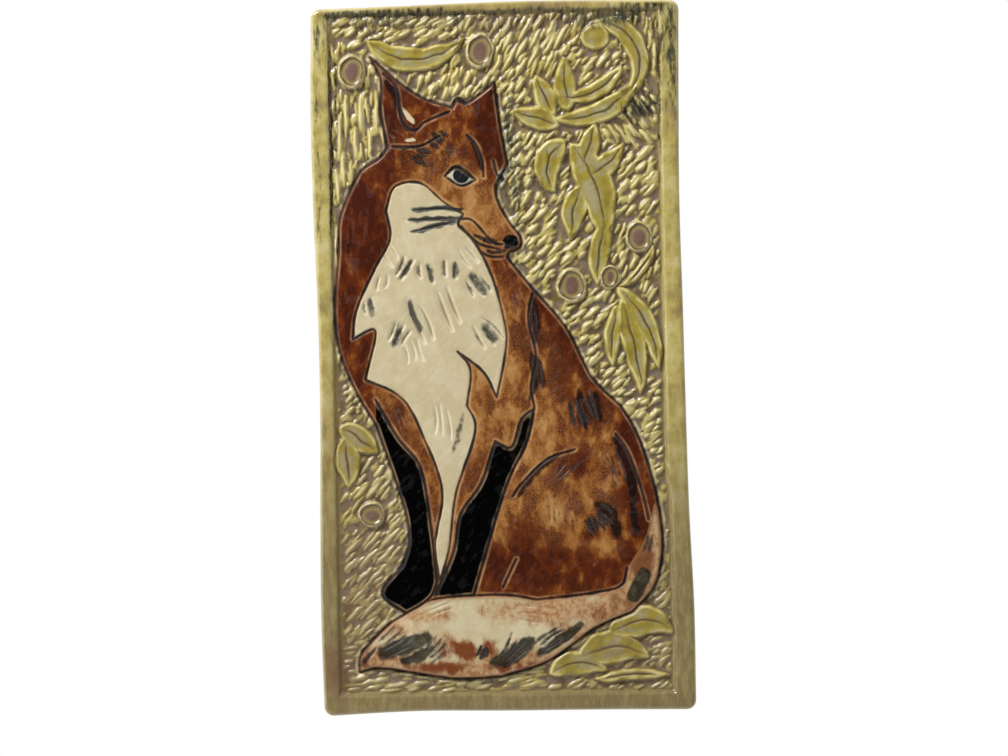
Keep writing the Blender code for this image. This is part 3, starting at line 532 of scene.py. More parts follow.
def fox_lie(points):
    """Depths inside each colour of the fox, and the distance to its scored lines."""
    lie = {
        "fox": depth_inside(points, fox_ring, 14.0),
        "cream": depth_inside(points, cream_ring),
        "tail": depth_inside(points, tail_ring),
        "black": np.maximum(depth_inside(points, left_sock), depth_inside(points, right_sock)),
        "eye": depth_inside(points, eye_ring, 4.0),
        "nose": depth_inside(points, nose_ball),
        "far_eye": depth_inside(points, far_eye, 4.0),
        "lid": along_and_ends(points, fox_lines["eye_top"], 2.0),
    }
    lie["pupil"] = np.minimum(depth_inside(points, pupil, 4.0), lie["eye"] + 0.5)
    lie["line"] = nearest(points, closed(fox_ring), 3.0)[0]
    for line in fox_lines.values():
        lie["line"] = np.minimum(lie["line"], nearest(points, line, 3.0)[0])
    return lie


def plant_lie(points):
    """Depths inside the leaves and berries, and the nearness of the veins."""
    lie = {name: np.full(len(points), FAR) for name in ("leaf", "rim", "core")}
    lie["vein"] = np.zeros(len(points))
    for ring in leaf_rings:
        lie["leaf"] = np.maximum(lie["leaf"], depth_inside(points, ring))
    for _, middle in leaves:
        lie["vein"] = np.maximum(lie["vein"], along_and_ends(points, middle[1:-1], 1.0))
    for rim, (x, z, a, b) in zip(berry_rims, BERRIES):
        lie["rim"] = np.maximum(lie["rim"], depth_inside(points, rim))
        lie["core"] = np.maximum(lie["core"], depth_inside(points, oval(x, z, a, b)))
    return lie


def ridge_lie(points, field):
    """How near the crest of a ridge, a sliver or a rake mark each point is."""
    crest = np.zeros(len(points))
    for k, stroke in enumerate(ridges):
        near = along_and_ends(points, even_steps(stroke, 1.5), RIDGE_HALF, 0.8 + 0.1 * (k % 6))
        crest = np.maximum(crest, near)
    for k, stroke in enumerate(slivers):
        near = along_and_ends(points, stroke, SLIVER_HALF)
        crest = np.maximum(crest, (0.7 + 0.06 * (k % 5)) * near)
    return np.maximum(crest, raked(points) * ease(field, 0.6, 2.0))


def mark_lie(points, painted):
    """Depth of the hair cuts, and strength of the brush touches on and beside them."""
    lie = {"hair": np.zeros(len(points)), "dab": np.zeros(len(points))}
    for line, depth, dark, half in hairs:
        lie["hair"] = np.maximum(lie["hair"], depth * along_and_ends(points, line, half))
        touch = np.clip(1.8 * along_and_ends(painted, line, DAB_HALF), 0.0, 1.0)
        lie["dab"] = np.maximum(lie["dab"], dark * touch)
    for line, half, dark in brushes:
        touch = np.clip(1.7 * along_and_ends(painted, line, half), 0.0, 1.0)
        lie["dab"] = np.maximum(lie["dab"], dark * touch)
    gaps = [along_and_ends(painted, line, half) for line, half in gaps_in_ear]
    lie["bare_ear"] = np.maximum.reduce(gaps)
    return lie


def lie_of(points):
    """Distances and shares that both the relief and the glaze are made from."""
    lie = fox_lie(points)
    lie["field"] = depth_inside(points, FIELD, 9.0)
    lie["score"] = nearest(points, closed(field_line), 3.0)[0]
    lie["ridge"] = ridge_lie(unsteady(points, 0.7, 4.2), lie["field"])
    lie.update(plant_lie(unsteady(points, 1.0, 7.0)))
    lie.update(mark_lie(points, unsteady(points, 1.1, 5.0)))
    return lie


def relief(points, lie):
    """Height of the face over the border's level, in mm."""
    level = GROUND * ease(lie["field"], -0.4, 1.1)
    crest = CREST - CREST_FALL * ease(-points[:, 1], 0.0, LOW_END)
    level = np.maximum(level, GROUND + crest * ease(lie["ridge"], 0.0, 0.9))
    top = -0.1 - 0.45 * ease(lie["leaf"], 1.0, 2.6) + 0.5 * ease(lie["leaf"], 2.6, 7.0)
    top = top - VEIN_CUT * lie["vein"]
    level = np.maximum(level, GROUND + (top - GROUND) * ease(lie["leaf"], -0.6, 0.8))
    top = 0.4 - 1.0 * ease(lie["core"], -0.6, 0.8) + 0.6 * ease(lie["core"], 0.8, 3.5)
    level = np.maximum(level, GROUND + (top - GROUND) * ease(lie["rim"], -0.6, 0.9))
    top = FOX_RISE + FOX_SWELL * (1 - np.exp(-np.maximum(lie["fox"], 0.0) / 12.0))
    top += NOSE_SWELL * ease(lie["nose"], 0.0, 3.0) + EYE_SWELL * ease(lie["eye"], 0.2, 2.4)
    level = level + (top - level) * ease(lie["fox"], -1.0, 1.0)
    outline = groove(np.abs(lie["fox"]), OUTLINE_CUT, OUTLINE_HALF)
    scored = groove(np.minimum(lie["line"], lie["score"]), LINE_CUT, LINE_HALF)
    level = level - np.maximum.reduce([outline, scored, lie["hair"]])
    waves = [
        noise.noise((x / 17.0, z / 17.0, 3.1)) * 0.22 + noise.noise((x / 4.5, z / 4.5, 8.3)) * 0.07
        for x, z in points
    ]
    return level + np.array(waves)


def rows(line, offsets):
    """Points along a line and at offsets to both sides of it."""
    ahead = np.gradient(line, axis=0)
    ahead /= np.maximum(np.linalg.norm(ahead, axis=1), 1e-9)[:, None]
    side = np.stack([-ahead[:, 1], ahead[:, 0]], axis=1)
    return np.concatenate([line + side * offset for offset in offsets])


def lines_of_points():
    """Points along every cut and edge, most needed first, and then the even scatter."""
    both = (0.0, -0.5, 0.5, -1.0, 1.0)
    sets = [rows(even_steps(closed(fox_ring), 0.9), both + (-1.6, 1.6))]
    sets += [rows(even_steps(line, 0.9), both + (-1.4, 1.4)) for line in fox_lines.values()]
    sets += [rows(even_steps(ring, 0.7), both) for ring in (pupil, nose_ball, far_eye)]
    sets += [rows(line, (0.0, -0.45, 0.45, -0.95, 0.95, -1.6, 1.6)) for line, _, _, _ in hairs]
    sets.append(rows(even_steps(closed(field_line), 1.4), both))
    sets += [rows(even_steps(closed(ring), 0.9), both) for ring in leaf_rings + berry_rims]
    sets += [rows(even_steps(middle[1:-1], 1.0), (0.0, -0.5, 0.5, -0.95, 0.95)) for _, middle in leaves]
    sets += [rows(even_steps(closed(oval(x, z, a, b)), 0.9), both) for x, z, a, b in BERRIES]
    sets += [rows(even_steps(stroke, 0.9), both + (-1.5, 1.5)) for stroke in ridges]
    sets += [rows(even_steps(stroke, 0.8), (0.0, -0.55, 0.55, -1.1, 1.1)) for stroke in slivers]
    columns, count = int(WIDTH / FILL_STEP) + 1, int(HEIGHT / FILL_STEP / 0.9) + 1
    scatter = [
        (-WIDTH / 2 + (i + 0.5 * (k % 2)) * FILL_STEP, -HEIGHT / 2 + k * FILL_STEP * 0.9)
        for k in range(count) for i in range(columns)
    ]
    return sets + [np.array(scatter)]


def face_points():
    """Every point of the face, with those that crowd an earlier one left out."""
    limit = slab_ring(ROLL + 0.3)
    filled = np.zeros((int(2 * REACH_X / CROWD), int(2 * REACH_Z / CROWD)), dtype=bool)
    kept = []
    for points in lines_of_points():
        points = points[inside(points, limit)]
        place = ((points + (REACH_X, REACH_Z)) / CROWD).astype(int)
        _, first = np.unique(place[:, 0] * 100000 + place[:, 1], return_index=True)
        points, place = points[first], place[first]
        crowd = np.zeros(len(points), dtype=bool)
        for dx in (-1, 0, 1):
            for dz in (-1, 0, 1):
                crowd |= filled[place[:, 0] + dx, place[:, 1] + dz]
        kept.append(points[~crowd])
        filled[place[~crowd, 0], place[~crowd, 1]] = True
    return np.concatenate(kept)


def plaque_mesh():
    """The closed slab with its relief, and what the glaze needs to know at each vertex."""
    rim = slab_ring(ROLL)
    count = len(rim)
    points = [Vector(point) for point in np.concatenate([rim, face_points()])]
    edges = [(k, (k + 1) % count) for k in range(count)]
    places, _, faces, _, _, _ = delaunay_2d_cdt(points, edges, [list(range(count))], 1, 1e-5)
    plan = np.array([tuple(place) for place in places])
    ring = [int(np.linalg.norm(plan - corner, axis=1).argmin()) for corner in rim]
    lie = lie_of(plan)
    height = relief(plan, lie) * ease(nearest(plan, closed(rim), 4.0)[0], 0.0, 2.0)
    verts = [(x, -THICK - h, z) for (x, z), h in zip(plan, height)]
    polygons = [tuple(face) for face in faces]
    turns = np.radians((22, 45, 68, 90))
    bands = [(ROLL * (1 - math.sin(turn)), THICK - ROLL * (1 - math.cos(turn))) for turn in turns]
    bands += [(0.0, 6.0), (0.0, 3.5), (0.0, 1.2), (0.4, 0.4), (1.2, 0.0)]
    bare = []
    for inset, depth in bands:
        start = len(verts)
        verts += [(x, -depth, z) for x, z in slab_ring(inset)]
        bare += [float(ease(np.array(GLAZE_STOP - depth), 0.0, GLAZE_FADE))] * count
        following = list(range(start, start + count))
        for k, j in edges:
            polygons.append((ring[k], following[k], following[j], ring[j]))
        ring = following
    polygons.append(tuple(ring))
    return np.array(verts) / 1000.0, polygons, plan, lie, bare


# The glaze. Each colour was brushed on thick or thin, oxide and smoke stained it, and it was fired to a
# wet gloss over pale clay. Rows give a place, the reach across and up, and how strong a colour is there.
TONES = (
    (-56, 138, 14, 20, 0.9), (-28, 128, 16, 10, 0.8), (-10, 114, 9, 14, 0.7), (-24, 122, 14, 10, 0.62),
    (-4, 122, 10, 14, 0.78), (2, 132, 7, 12, 0.9), (-42, 104, 12, 12, 0.5), (-30, 100, 12, 14, 0.42),
    (-1, 104, 5, 9, 0.85), (-18, 87, 14, 11, 0.17), (-2, 70, 9, 9, 0.34), (-72, 78, 12, 26, 0.92),
    (-78, 36, 10, 30, 0.76), (-66, 92, 10, 12, 0.68), (-74, -8, 10, 18, 0.78), (-60, -28, 9, 12, 0.62),
    (-54, -50, 8, 22, 0.5), (-44, -100, 6, 22, 0.5), (8, 20, 9, 26, 0.4), (-4, -20, 7, 16, 0.42),
    (-18, -80, 7, 26, 0.5), (20, 34, 12, 20, 0.74), (34, 14, 14, 22, 0.86), (46, -14, 14, 20, 0.62),
    (24, -14, 14, 18, 0.5), (18, -44, 12, 14, 0.42), (40, -44, 14, 12, 0.46), (64, -50, 10, 30, 0.78),
    (36, -70, 18, 16, 0.36), (58, -80, 9, 16, 0.4), (18, -92, 14, 14, 0.52), (46, -100, 18, 10, 0.5),
    (10, -112, 18, 8, 0.72), (38, -116, 20, 8, 0.66), (76, -88, 6, 26, 0.7), (68, -108, 10, 12, 0.72),
    (4, 48, 8, 14, 0.6), (-84, 10, 5, 30, 0.92), (38, -57, 8, 8, 1.0), (64, -60, 5, 20, 0.95),
    (69, -92, 3, 16, 0.9), (20, -107, 16, 5, 0.95), (52, -114, 22, 4, 1.0), (12, -92, 5, 9, 0.85),
    (48, -26, 8, 9, 0.9), (24, -30, 5, 10, 0.2), (18, -56, 6, 4, 0.1), (52, -62, 5, 14, 0.25),
    (44, -96, 7, 5, 0.85), (26, 2, 5, 14, 0.35), (56, -34, 4, 10, 0.3), (24, -80, 9, 7, 0.2),
    (-62, -22, 5, 6, 0.3), (-10, -30, 4, 8, 0.25), (2, 0, 5, 10, 0.3), (-58, 100, 10, 6, 0.75),
)
RUST = (
    (-20, -154, 12, 5, 0.9), (-36, -163, 16, 3, 0.8), (-66, -158, 14, 4, 0.5), (4, -164, 16, 3, 0.8),
    (44, -136, 20, 6, 0.3), (60, -140, 12, 4, 0.3), (-62, -138, 12, 8, 0.25), (20, -142, 26, 5, 0.3),
)
STAINS = (
    (-60, 182.6, 50, 3, 0.8), (20, 182.6, 60, 2, 0.6), (82, 185, 20, 5, 0.75), (93, 160, 4, 30, 0.8),
    (-93, 172, 4, 18, 0.6), (76, 130, 9, 9, 0.65), (-95, 110, 2, 50, 0.5), (88, 166, 4, 20, 0.6),
    (60, 178, 26, 6, 0.7), (-60, 180, 22, 6, 0.6), (6, 116, 5, 26, 0.6), (22, 104, 8, 18, 0.38),
    (-96, -20, 2, 60, 0.3), (50, 60, 26, 4, 0.3), (9, 84, 6, 14, 0.6), (0, 177, 60, 5, 0.4),
)
BROWNS = (
    (-90, -165, 9, 17, 1.0), (-92, -60, 6, 60, 0.4), (0, -184, 90, 7, 0.45), (92, -120, 5, 50, 0.35),
    (-74, -120, 18, 30, 0.5), (-80, -30, 16, 40, 0.3), (60, -160, 30, 20, 0.3), (0, 182, 60, 9, 0.4),
)
TANS = (
    (34, -134, 34, 7, 0.9), (60, -130, 12, 10, 1.3), (72, -112, 8, 20, 1.7), (-70, -160, 12, 8, 1.2),
    (-30, -166, 30, 5, 1.1), (-62, -142, 16, 6, 0.6), (10, -162, 34, 6, 0.9), (-24, -152, 16, 6, 0.6),
    (52, -146, 14, 5, 1.2), (-78, -164, 10, 8, 1.7), (-44, -136, 12, 3, 0.7),
)


def blots(points, places):
    """Strongest of several soft-edged blots at each point."""
    result = np.zeros(len(points))
    for x, z, across, up, strength in places:
        far = ((points[:, 0] - x) / across) ** 2 + ((points[:, 1] - z) / up) ** 2
        result = np.maximum(result, strength * np.exp(-far / 1.6))
    return result


def brushed(points, places, still):
    """Value blended from the nearest of several brushed places."""
    total, weights = np.full(len(points), still * 0.01), np.full(len(points), 0.01)
    for x, z, across, up, value in places:
        far = ((points[:, 0] - x) / across) ** 2 + ((points[:, 1] - z) / up) ** 2
        weight = np.exp(-far / 1.4)
        total, weights = total + value * weight, weights + weight
    return total / weights


def srgb(*levels):
    """Colour as seen on a screen, 0 to 255, in the shader's own scale."""
    shares = [level / 255 for level in levels]
    return tuple(c / 12.92 if c < 0.0404 else ((c + 0.055) / 1.055) ** 2.4 for c in shares) + (1,)


class Glaze:
    """The glaze's material, with short ways to lay one coat over another."""

    def __init__(self, name):
        self.material = bpy.data.materials.new(name)
        self.material.use_nodes = True
        self.nodes = self.material.node_tree.nodes
        self.links = self.material.node_tree.links
        self.shader = self.nodes["Principled BSDF"]
        place = self.nodes.new("ShaderNodeTexCoord").outputs["Object"]
        self.place = self.scaled(place, (1000.0, 1000.0, 1000.0))
        self.wide, self.patch = self.cloud(26.0), self.cloud(9.0)
        self.fine, self.grain = self.cloud(2.6, 4.0, 0.65), self.cloud(0.7, 2.0)
        self.streak = self.cloud(9.0, 4.0, 0.6, (1.3, 1.0, 0.7))
        self.wobble, self.uneven = self.swing(self.fine, 1.6), self.swing(self.streak, 1.9)

    def feed(self, socket, value):
        if isinstance(value, bpy.types.NodeSocket):
            self.links.new(value, socket)
        else:
            socket.default_value = value

    def scaled(self, vector, factors):
        node = self.nodes.new("ShaderNodeVectorMath")
        node.operation = "MULTIPLY"
        self.feed(node.inputs[0], vector)
        self.feed(node.inputs[1], factors)
        return node.outputs[0]

    def lie(self, name):
        """A stored distance or share, by its name."""
        node = self.nodes.new("ShaderNodeAttribute")
        node.attribute_name = name
        return node.outputs["Fac"]

    def combine(self, operation, first, second):
        node = self.nodes.new("ShaderNodeMath")
        node.operation = operation
        self.feed(node.inputs[0], first)
        self.feed(node.inputs[1], second)
        return node.outputs[0]

    def plus(self, first, second):
        return self.combine("ADD", first, second)

    def less(self, first, second):
        return self.combine("SUBTRACT", first, second)

    def times(self, first, second):
        return self.combine("MULTIPLY", first, second)

    def swing(self, cloud, amount):
        """Rise and fall of a cloud about its middle."""
        return self.times(self.less(cloud, 0.5), amount)

    def between(self, value, low, high):
        """Soft step from 0 at low to 1 at high."""
        node = self.nodes.new("ShaderNodeMapRange")
        node.interpolation_type = "SMOOTHSTEP"
        for socket, given in zip(("Value", "From Min", "From Max"), (value, low, high)):
            self.feed(node.inputs[socket], given)
        return node.outputs[0]

    def zone(self, name, low, high):
        """Soft step of a stored distance."""
        return self.between(self.lie(name), low, high)

    def ragged(self, name, low, high, rough):
        """The same step with an uneven, brushed edge."""
        return self.between(self.plus(self.lie(name), self.times(self.wobble, rough)), low, high)

    def cloud(self, size, detail=3.0, rough=0.55, stretch=(1.0, 1.0, 1.0)):
        """Mottling with spots of about the given size in millimetres."""
        node = self.nodes.new("ShaderNodeTexNoise")
        self.feed(node.inputs["Vector"], self.scaled(self.place, stretch))
        node.inputs["Scale"].default_value = 1.0 / size
        node.inputs["Detail"].default_value = detail
        node.inputs["Roughness"].default_value = rough
        return node.outputs[0]

    def mix(self, share, first, second):
        node = self.nodes.new("ShaderNodeMix")
        node.data_type = "RGBA"
        self.feed(node.inputs[0], share)
        self.feed(node.inputs[6], first)
        self.feed(node.inputs[7], second)
        return node.outputs[2]

    def ramp(self, value, *stops):
        node = self.nodes.new("ShaderNodeValToRGB")
        ramp = node.color_ramp
        while len(ramp.elements) < len(stops):
            ramp.elements.new(0.5)
        for element, (place, colour) in zip(ramp.elements, stops):
            element.position = place
            element.color = colour
        self.feed(node.inputs[0], value)
        return node.outputs[0]


def border_colour(g):
    """Olive yellow, sandy, worn pale in streaks and duller towards the bottom."""
    olive = g.ramp(
        g.plus(g.patch, g.swing(g.wide, 0.9)),
        (0.26, srgb(146, 128, 84)), (0.42, srgb(168, 152, 84)), (0.56, srgb(187, 171, 102)),
        (0.74, srgb(200, 187, 134)),
    )
    worn = g.between(g.cloud(3.2, 4.0, 0.6, (1.6, 1.0, 0.45)), 0.42, 0.64)
    olive = g.mix(g.times(worn, 0.3), olive, srgb(204, 192, 136))
    olive = g.mix(g.times(g.between(g.grain, 0.52, 0.7), 0.22), olive, srgb(118, 102, 62))
    dull = g.mix(worn, srgb(123, 111, 77), srgb(146, 135, 92))
    return g.mix(g.times(g.lie("dull"), 0.85), olive, dull)


def ground_colour(g):
    """Mauve brown in the hollows with painted shade, and yellow on the ridges with a painted highlight
    along their crests, where the glaze is also thin.
    """
    # The hollows: mauve-brown glaze, darkened as painted shade.
    hollow = g.ramp(
        g.patch,
        (0.3, srgb(92, 76, 56)), (0.42, srgb(114, 98, 72)), (0.55, srgb(134, 117, 102)),
        (0.66, srgb(112, 98, 58)),
    )
    hollow = g.mix(g.zone("field", 3.0, 0.8), hollow, srgb(150, 134, 88))
    # Painted highlight: each ridge pales up to its crest, where the glaze also runs thin.
    ridge = g.ramp(
        g.lie("ridge"),
        (0.0, srgb(126, 109, 72)), (0.28, srgb(162, 145, 78)), (0.5, srgb(188, 173, 106)),
        (0.78, srgb(212, 200, 148)),
    )
    # Towards the bottom the ridges turn duller, which also weakens the painted highlight there.
    dull = g.mix(g.patch, srgb(128, 112, 80), srgb(168, 152, 104))
    ridge = g.mix(g.times(g.lie("dull"), 0.55), ridge, dull)
    ridge = g.mix(g.between(g.wide, 0.44, 0.64), ridge, g.mix(0.35, ridge, srgb(168, 146, 48)))
    return g.mix(g.ragged("ridge", 0.06, 0.34, 0.22), hollow, ridge)


def leaf_colour(g):
    """Clear yellow, clouded in the middle, dark in the vein, and paler along the raised brink: thin glaze
    there, and a painted highlight.
    """
    yellow = g.ramp(
        g.patch, (0.3, srgb(136, 121, 58)), (0.5, srgb(168, 150, 58)), (0.7, srgb(186, 169, 92)),
    )
    middle = g.times(g.zone("leaf", 1.2, 3.4), g.between(g.patch, 0.42, 0.56))
    clouded = g.mix(g.between(g.patch, 0.4, 0.6), srgb(124, 116, 98), srgb(158, 150, 112))
    yellow = g.mix(g.times(middle, 0.85), yellow, clouded)
    yellow = g.mix(g.zone("vein", 0.1, 0.7), yellow, srgb(98, 84, 52))
    # Painted highlight along the raised brink of each leaf, where the glaze is also thin.
    brink = g.times(g.zone("leaf", 0.0, 0.7), g.zone("leaf", 2.0, 0.9))
    return g.mix(g.times(brink, g.between(g.patch, 0.36, 0.6)), yellow, srgb(208, 196, 134))


def berry_colour(g):
    """A pale rim, and a mauve middle inside a dark joint and a thin olive ring."""
    rim = g.mix(g.between(g.fine, 0.4, 0.65), srgb(164, 148, 96), srgb(214, 202, 150))
    rim = g.mix(g.zone("core", -1.1, -0.3), rim, srgb(92, 72, 56))
    mauve = g.mix(g.patch, srgb(92, 66, 58), srgb(136, 112, 100))
    core = g.mix(g.zone("core", 1.4, 2.8), srgb(152, 134, 82), mauve)
    return g.mix(g.zone("core", -0.2, 0.8), rim, core)


def stained(g, colour):
    """Brown oxide, a rim rubbed pale, smoke that hangs from the top, and the dark scored line."""
    brown = g.mix(g.patch, srgb(104, 76, 56), srgb(138, 110, 82))
    colour = g.mix(g.times(g.lie("brown"), 0.85), colour, brown)
    colour = g.mix(g.times(g.zone("edge", 1.6, 0.2), 0.45), colour, srgb(206, 194, 150))
    hanging = g.cloud(5.0, 4.0, 0.65, (2.2, 1.0, 0.6))
    stain = g.plus(g.lie("stain"), g.times(g.less(hanging, 0.55), 2.6))
    stain = g.times(g.between(stain, 0.15, 0.8), g.zone("edge", 0.6, 2.4))
    stain = g.times(stain, g.zone("stain", 0.05, 0.3))
    smoke = g.mix(g.between(g.patch, 0.35, 0.65), srgb(44, 44, 36), srgb(84, 84, 62))
    colour = g.mix(stain, colour, smoke)
    scored = g.times(g.zone("score", 0.8, 0.2), g.between(g.patch, 0.3, 0.6))
    return g.mix(g.times(scored, 0.4), colour, srgb(92, 78, 50))


def fur_colour(g):
    """Brown that broke as it ran: dark where it lies thick, tan and stippled where it is thin."""
    blotch = g.between(g.cloud(13.0, 3.0, 0.5, (1.2, 1.0, 0.8)), 0.5, 0.55)
    tone = g.plus(g.plus(g.lie("tone"), g.uneven), g.times(blotch, 0.2))
    tone = g.plus(tone, g.swing(g.fine, 0.35))
    thin = g.times(g.zone("line", 2.8, 1.2), g.between(g.streak, 0.42, 0.6))
    fur = g.ramp(
        g.less(tone, g.times(thin, 0.35)),
        (0.05, srgb(178, 134, 80)), (0.32, srgb(152, 100, 50)), (0.5, srgb(124, 70, 28)),
        (0.66, srgb(96, 43, 18)), (1.0, srgb(68, 28, 15)),
    )
    stipple = g.times(g.between(g.grain, 0.4, 0.7), g.zone("tone", 0.75, 0.35))
    fur = g.mix(g.times(stipple, 0.34), fur, srgb(200, 154, 100))
    return g.mix(g.ragged("bare_ear", 0.35, 0.6, 0.2), fur, srgb(206, 190, 156))


def tail_colour(g, milk):
    """Cream, washed with tan and rust, browner towards its scored outline."""
    tan = g.mix(g.between(g.fine, 0.36, 0.6), srgb(160, 112, 72), srgb(192, 158, 116))
    washed = g.between(g.plus(g.lie("tan"), g.times(g.uneven, 0.8)), 0.1, 0.75)
    tail = g.mix(washed, milk, tan)
    thick = g.between(g.plus(g.lie("tan"), g.uneven), 0.9, 1.5)
    tail = g.mix(thick, tail, g.mix(g.fine, srgb(92, 54, 32), srgb(150, 100, 60)))
    tail = g.mix(g.zone("tail", 2.6, 0.3), tail, srgb(140, 96, 62))
    rusty = g.between(g.plus(g.lie("rust"), g.uneven), 0.25, 0.7)
    return g.mix(rusty, tail, srgb(122, 66, 36))


def pale_and_black(g, colour):
    """The tail, the cream bib with painted highlights along the lips of its cuts, the black socks and the
    nose.
    """
    milk = g.mix(g.between(g.patch, 0.35, 0.7), srgb(198, 183, 146), srgb(208, 195, 160))
    colour = g.mix(g.ragged("tail", -0.5, 0.5, 0.4), colour, tail_colour(g, milk))
    # Painted highlight: the cream turns paler on the lips beside each cut.
    beside = g.times(g.zone("hair", 0.0, 0.15), g.zone("hair", 0.7, 0.3))
    milk = g.mix(g.times(beside, 0.35), milk, srgb(230, 221, 194))
    colour = g.mix(g.ragged("cream", -0.4, 0.4, 0.4), colour, milk)
    colour = g.mix(g.ragged("black", -0.3, 0.3, 0.3), colour, srgb(3, 3, 4))
    return g.mix(g.zone("nose", -0.1, 0.4), colour, srgb(8, 9, 10))


def eyes(g, colour):
    """Greyish white, a dark pupil and a dark upper lid."""
    white = g.mix(g.patch, srgb(176, 172, 148), srgb(216, 210, 186))
    colour = g.mix(g.zone("eye", -0.1, 0.3), colour, white)
    colour = g.mix(g.zone("far_eye", -0.3, 0.3), colour, srgb(188, 186, 164))
    pupil_colour = g.mix(g.fine, srgb(6, 8, 10), srgb(40, 46, 50))
    colour = g.mix(g.zone("pupil", -0.3, 0.2), colour, pupil_colour)
    return g.mix(g.zone("lid", 0.1, 0.5), colour, srgb(24, 18, 16))


def scored_lines(g, colour):
    """Dark glaze that pooled in the scored lines, with a paler lip in places beside them."""
    lip = g.times(g.zone("line", 0.7, 1.1), g.zone("line", 2.1, 1.2))
    broken = g.between(g.streak, 0.4, 0.62)
    colour = g.mix(g.times(g.times(lip, broken), 0.4), colour, srgb(190, 156, 112))
    cut = g.between(g.plus(g.lie("line"), g.swing(g.streak, 1.6)), 0.95, 0.3)
    return g.mix(g.times(cut, 0.94), colour, g.mix(broken, srgb(20, 14, 11), srgb(74, 44, 28)))


def brush_marks(g, colour):
    """Smoky dark touches over the hair marks, and painted shade in the bottom of the deep cuts on the
    cream.
    """
    dab = g.ragged("dab", 0.2, 0.7, 0.5)
    on_cream = g.zone("cream", -1.0, 0.5)
    on_fur = g.mix(g.between(g.patch, 0.4, 0.6), srgb(22, 17, 16), srgb(42, 23, 19))
    on_milk = g.mix(g.between(g.patch, 0.5, 0.78), srgb(28, 30, 26), srgb(76, 78, 62))
    ink = g.mix(g.combine("MAXIMUM", on_cream, g.zone("tail", -1.0, 0.5)), on_fur, on_milk)
    smoky = g.times(on_cream, g.zone("dab", 1.0, 0.75))
    ink = g.mix(g.times(smoky, 0.4), ink, srgb(96, 102, 92))
    colour = g.mix(g.times(dab, 0.92), colour, ink)
    cut = g.mix(dab, colour, srgb(22, 20, 18))
    colour = g.mix(g.times(g.zone("hair", 0.1, 0.4), 0.6), colour, cut)
    # Painted shade: the cream is darkened in the bottom of the deep cuts.
    bottom = g.times(g.zone("hair", 0.75, 1.3), g.zone("cream", -0.5, 0.5))
    return g.mix(g.times(bottom, 0.5), colour, srgb(132, 120, 92))


def bare_clay(g):
    """Pale stoneware with a fine grain, where no glaze was laid."""
    clay = g.mix(g.between(g.cloud(1.2, 4.0), 0.3, 0.7), srgb(176, 156, 128), srgb(204, 188, 162))
    return g.mix(g.times(g.between(g.wide, 0.5, 0.7), 0.5), clay, srgb(164, 140, 108))


def glaze_colours(g):
    """Colour of the whole plaque, laid from the border and ground up to the brush marks."""
    colour = g.mix(g.zone("field", -0.3, 0.9), border_colour(g), ground_colour(g))
    # Painted shadow: a dark ring in the ground all round each leaf.
    shade = g.mix(g.patch, srgb(96, 80, 66), srgb(128, 112, 92))
    colour = g.mix(g.zone("leaf", -1.3, -0.7), colour, shade)
    colour = g.mix(g.zone("leaf", -0.7, 0.1), colour, leaf_colour(g))
    colour = g.mix(g.zone("rim", -0.3, 0.3), colour, berry_colour(g))
    colour = stained(g, colour)
    colour = g.mix(g.zone("fox", -0.2, 0.4), colour, fur_colour(g))
    halo = g.times(g.zone("fox", -2.6, -1.7), g.zone("fox", -0.5, -1.1))
    halo = g.times(halo, g.between(g.streak, 0.36, 0.6))
    colour = g.mix(g.times(halo, 0.8), colour, srgb(222, 210, 166))
    colour = eyes(g, pale_and_black(g, colour))
    colour = brush_marks(g, scored_lines(g, colour))
    colour = g.mix(g.times(g.between(g.grain, 0.7, 0.8), 0.25), colour, srgb(214, 196, 160))
    return g.mix(g.ragged("bare", 0.35, 0.65, 1.0), colour, bare_clay(g))


GLOSS, GLOSS_SPREAD, WETTER = 0.19, 0.05, 0.1
COAT, COAT_GLOSS = 0.08, 0.08
GRAIN_SHARE, GRAIN_DEPTH = 0.12, 0.00025


def glaze_roughness(g):
    """Wettest on the black, rougher on the ridges and in the cuts, dull where the clay is bare."""
    rough = g.plus(GLOSS, g.times(g.cloud(6.0), GLOSS_SPREAD))
    rough = g.less(rough, g.times(g.zone("black", -0.3, 0.3), WETTER))
    rougher = (
        (g.lie("bare"), 0.5), (g.zone("line", 1.6, 0.9), 0.8), (g.zone("hair", 0.05, 0.4), 0.5),
        (g.zone("ridge", 0.2, 0.6), 0.24),
    )
    for share, amount in rougher:
        rough = g.plus(rough, g.times(share, amount))
    return rough


def glazed_clay():
    """Glossy, softly broken glaze over pale stoneware."""
    g = Glaze("glazed_clay")
    g.feed(g.shader.inputs["Base Color"], glaze_colours(g))
    g.feed(g.shader.inputs["Roughness"], glaze_roughness(g))
    g.shader.inputs["Coat Weight"].default_value = COAT
    g.shader.inputs["Coat Roughness"].default_value = COAT_GLOSS
    bump = g.nodes.new("ShaderNodeBump")
    bump.inputs["Strength"].default_value = GRAIN_SHARE
    bump.inputs["Distance"].default_value = GRAIN_DEPTH
    g.feed(bump.inputs["Height"], g.plus(g.cloud(1.6, 3.0), g.times(g.cloud(0.5, 2.0), 0.3)))
    g.feed(g.shader.inputs["Normal"], bump.outputs[0])
    return g.material


# On the sides and the back, every outline is far away.
AWAY = {"line": 3.0, "score": 3.0, **dict.fromkeys((
    "field", "fox", "cream", "tail", "black", "eye", "pupil", "nose", "far_eye", "leaf", "rim", "core",
), FAR)}


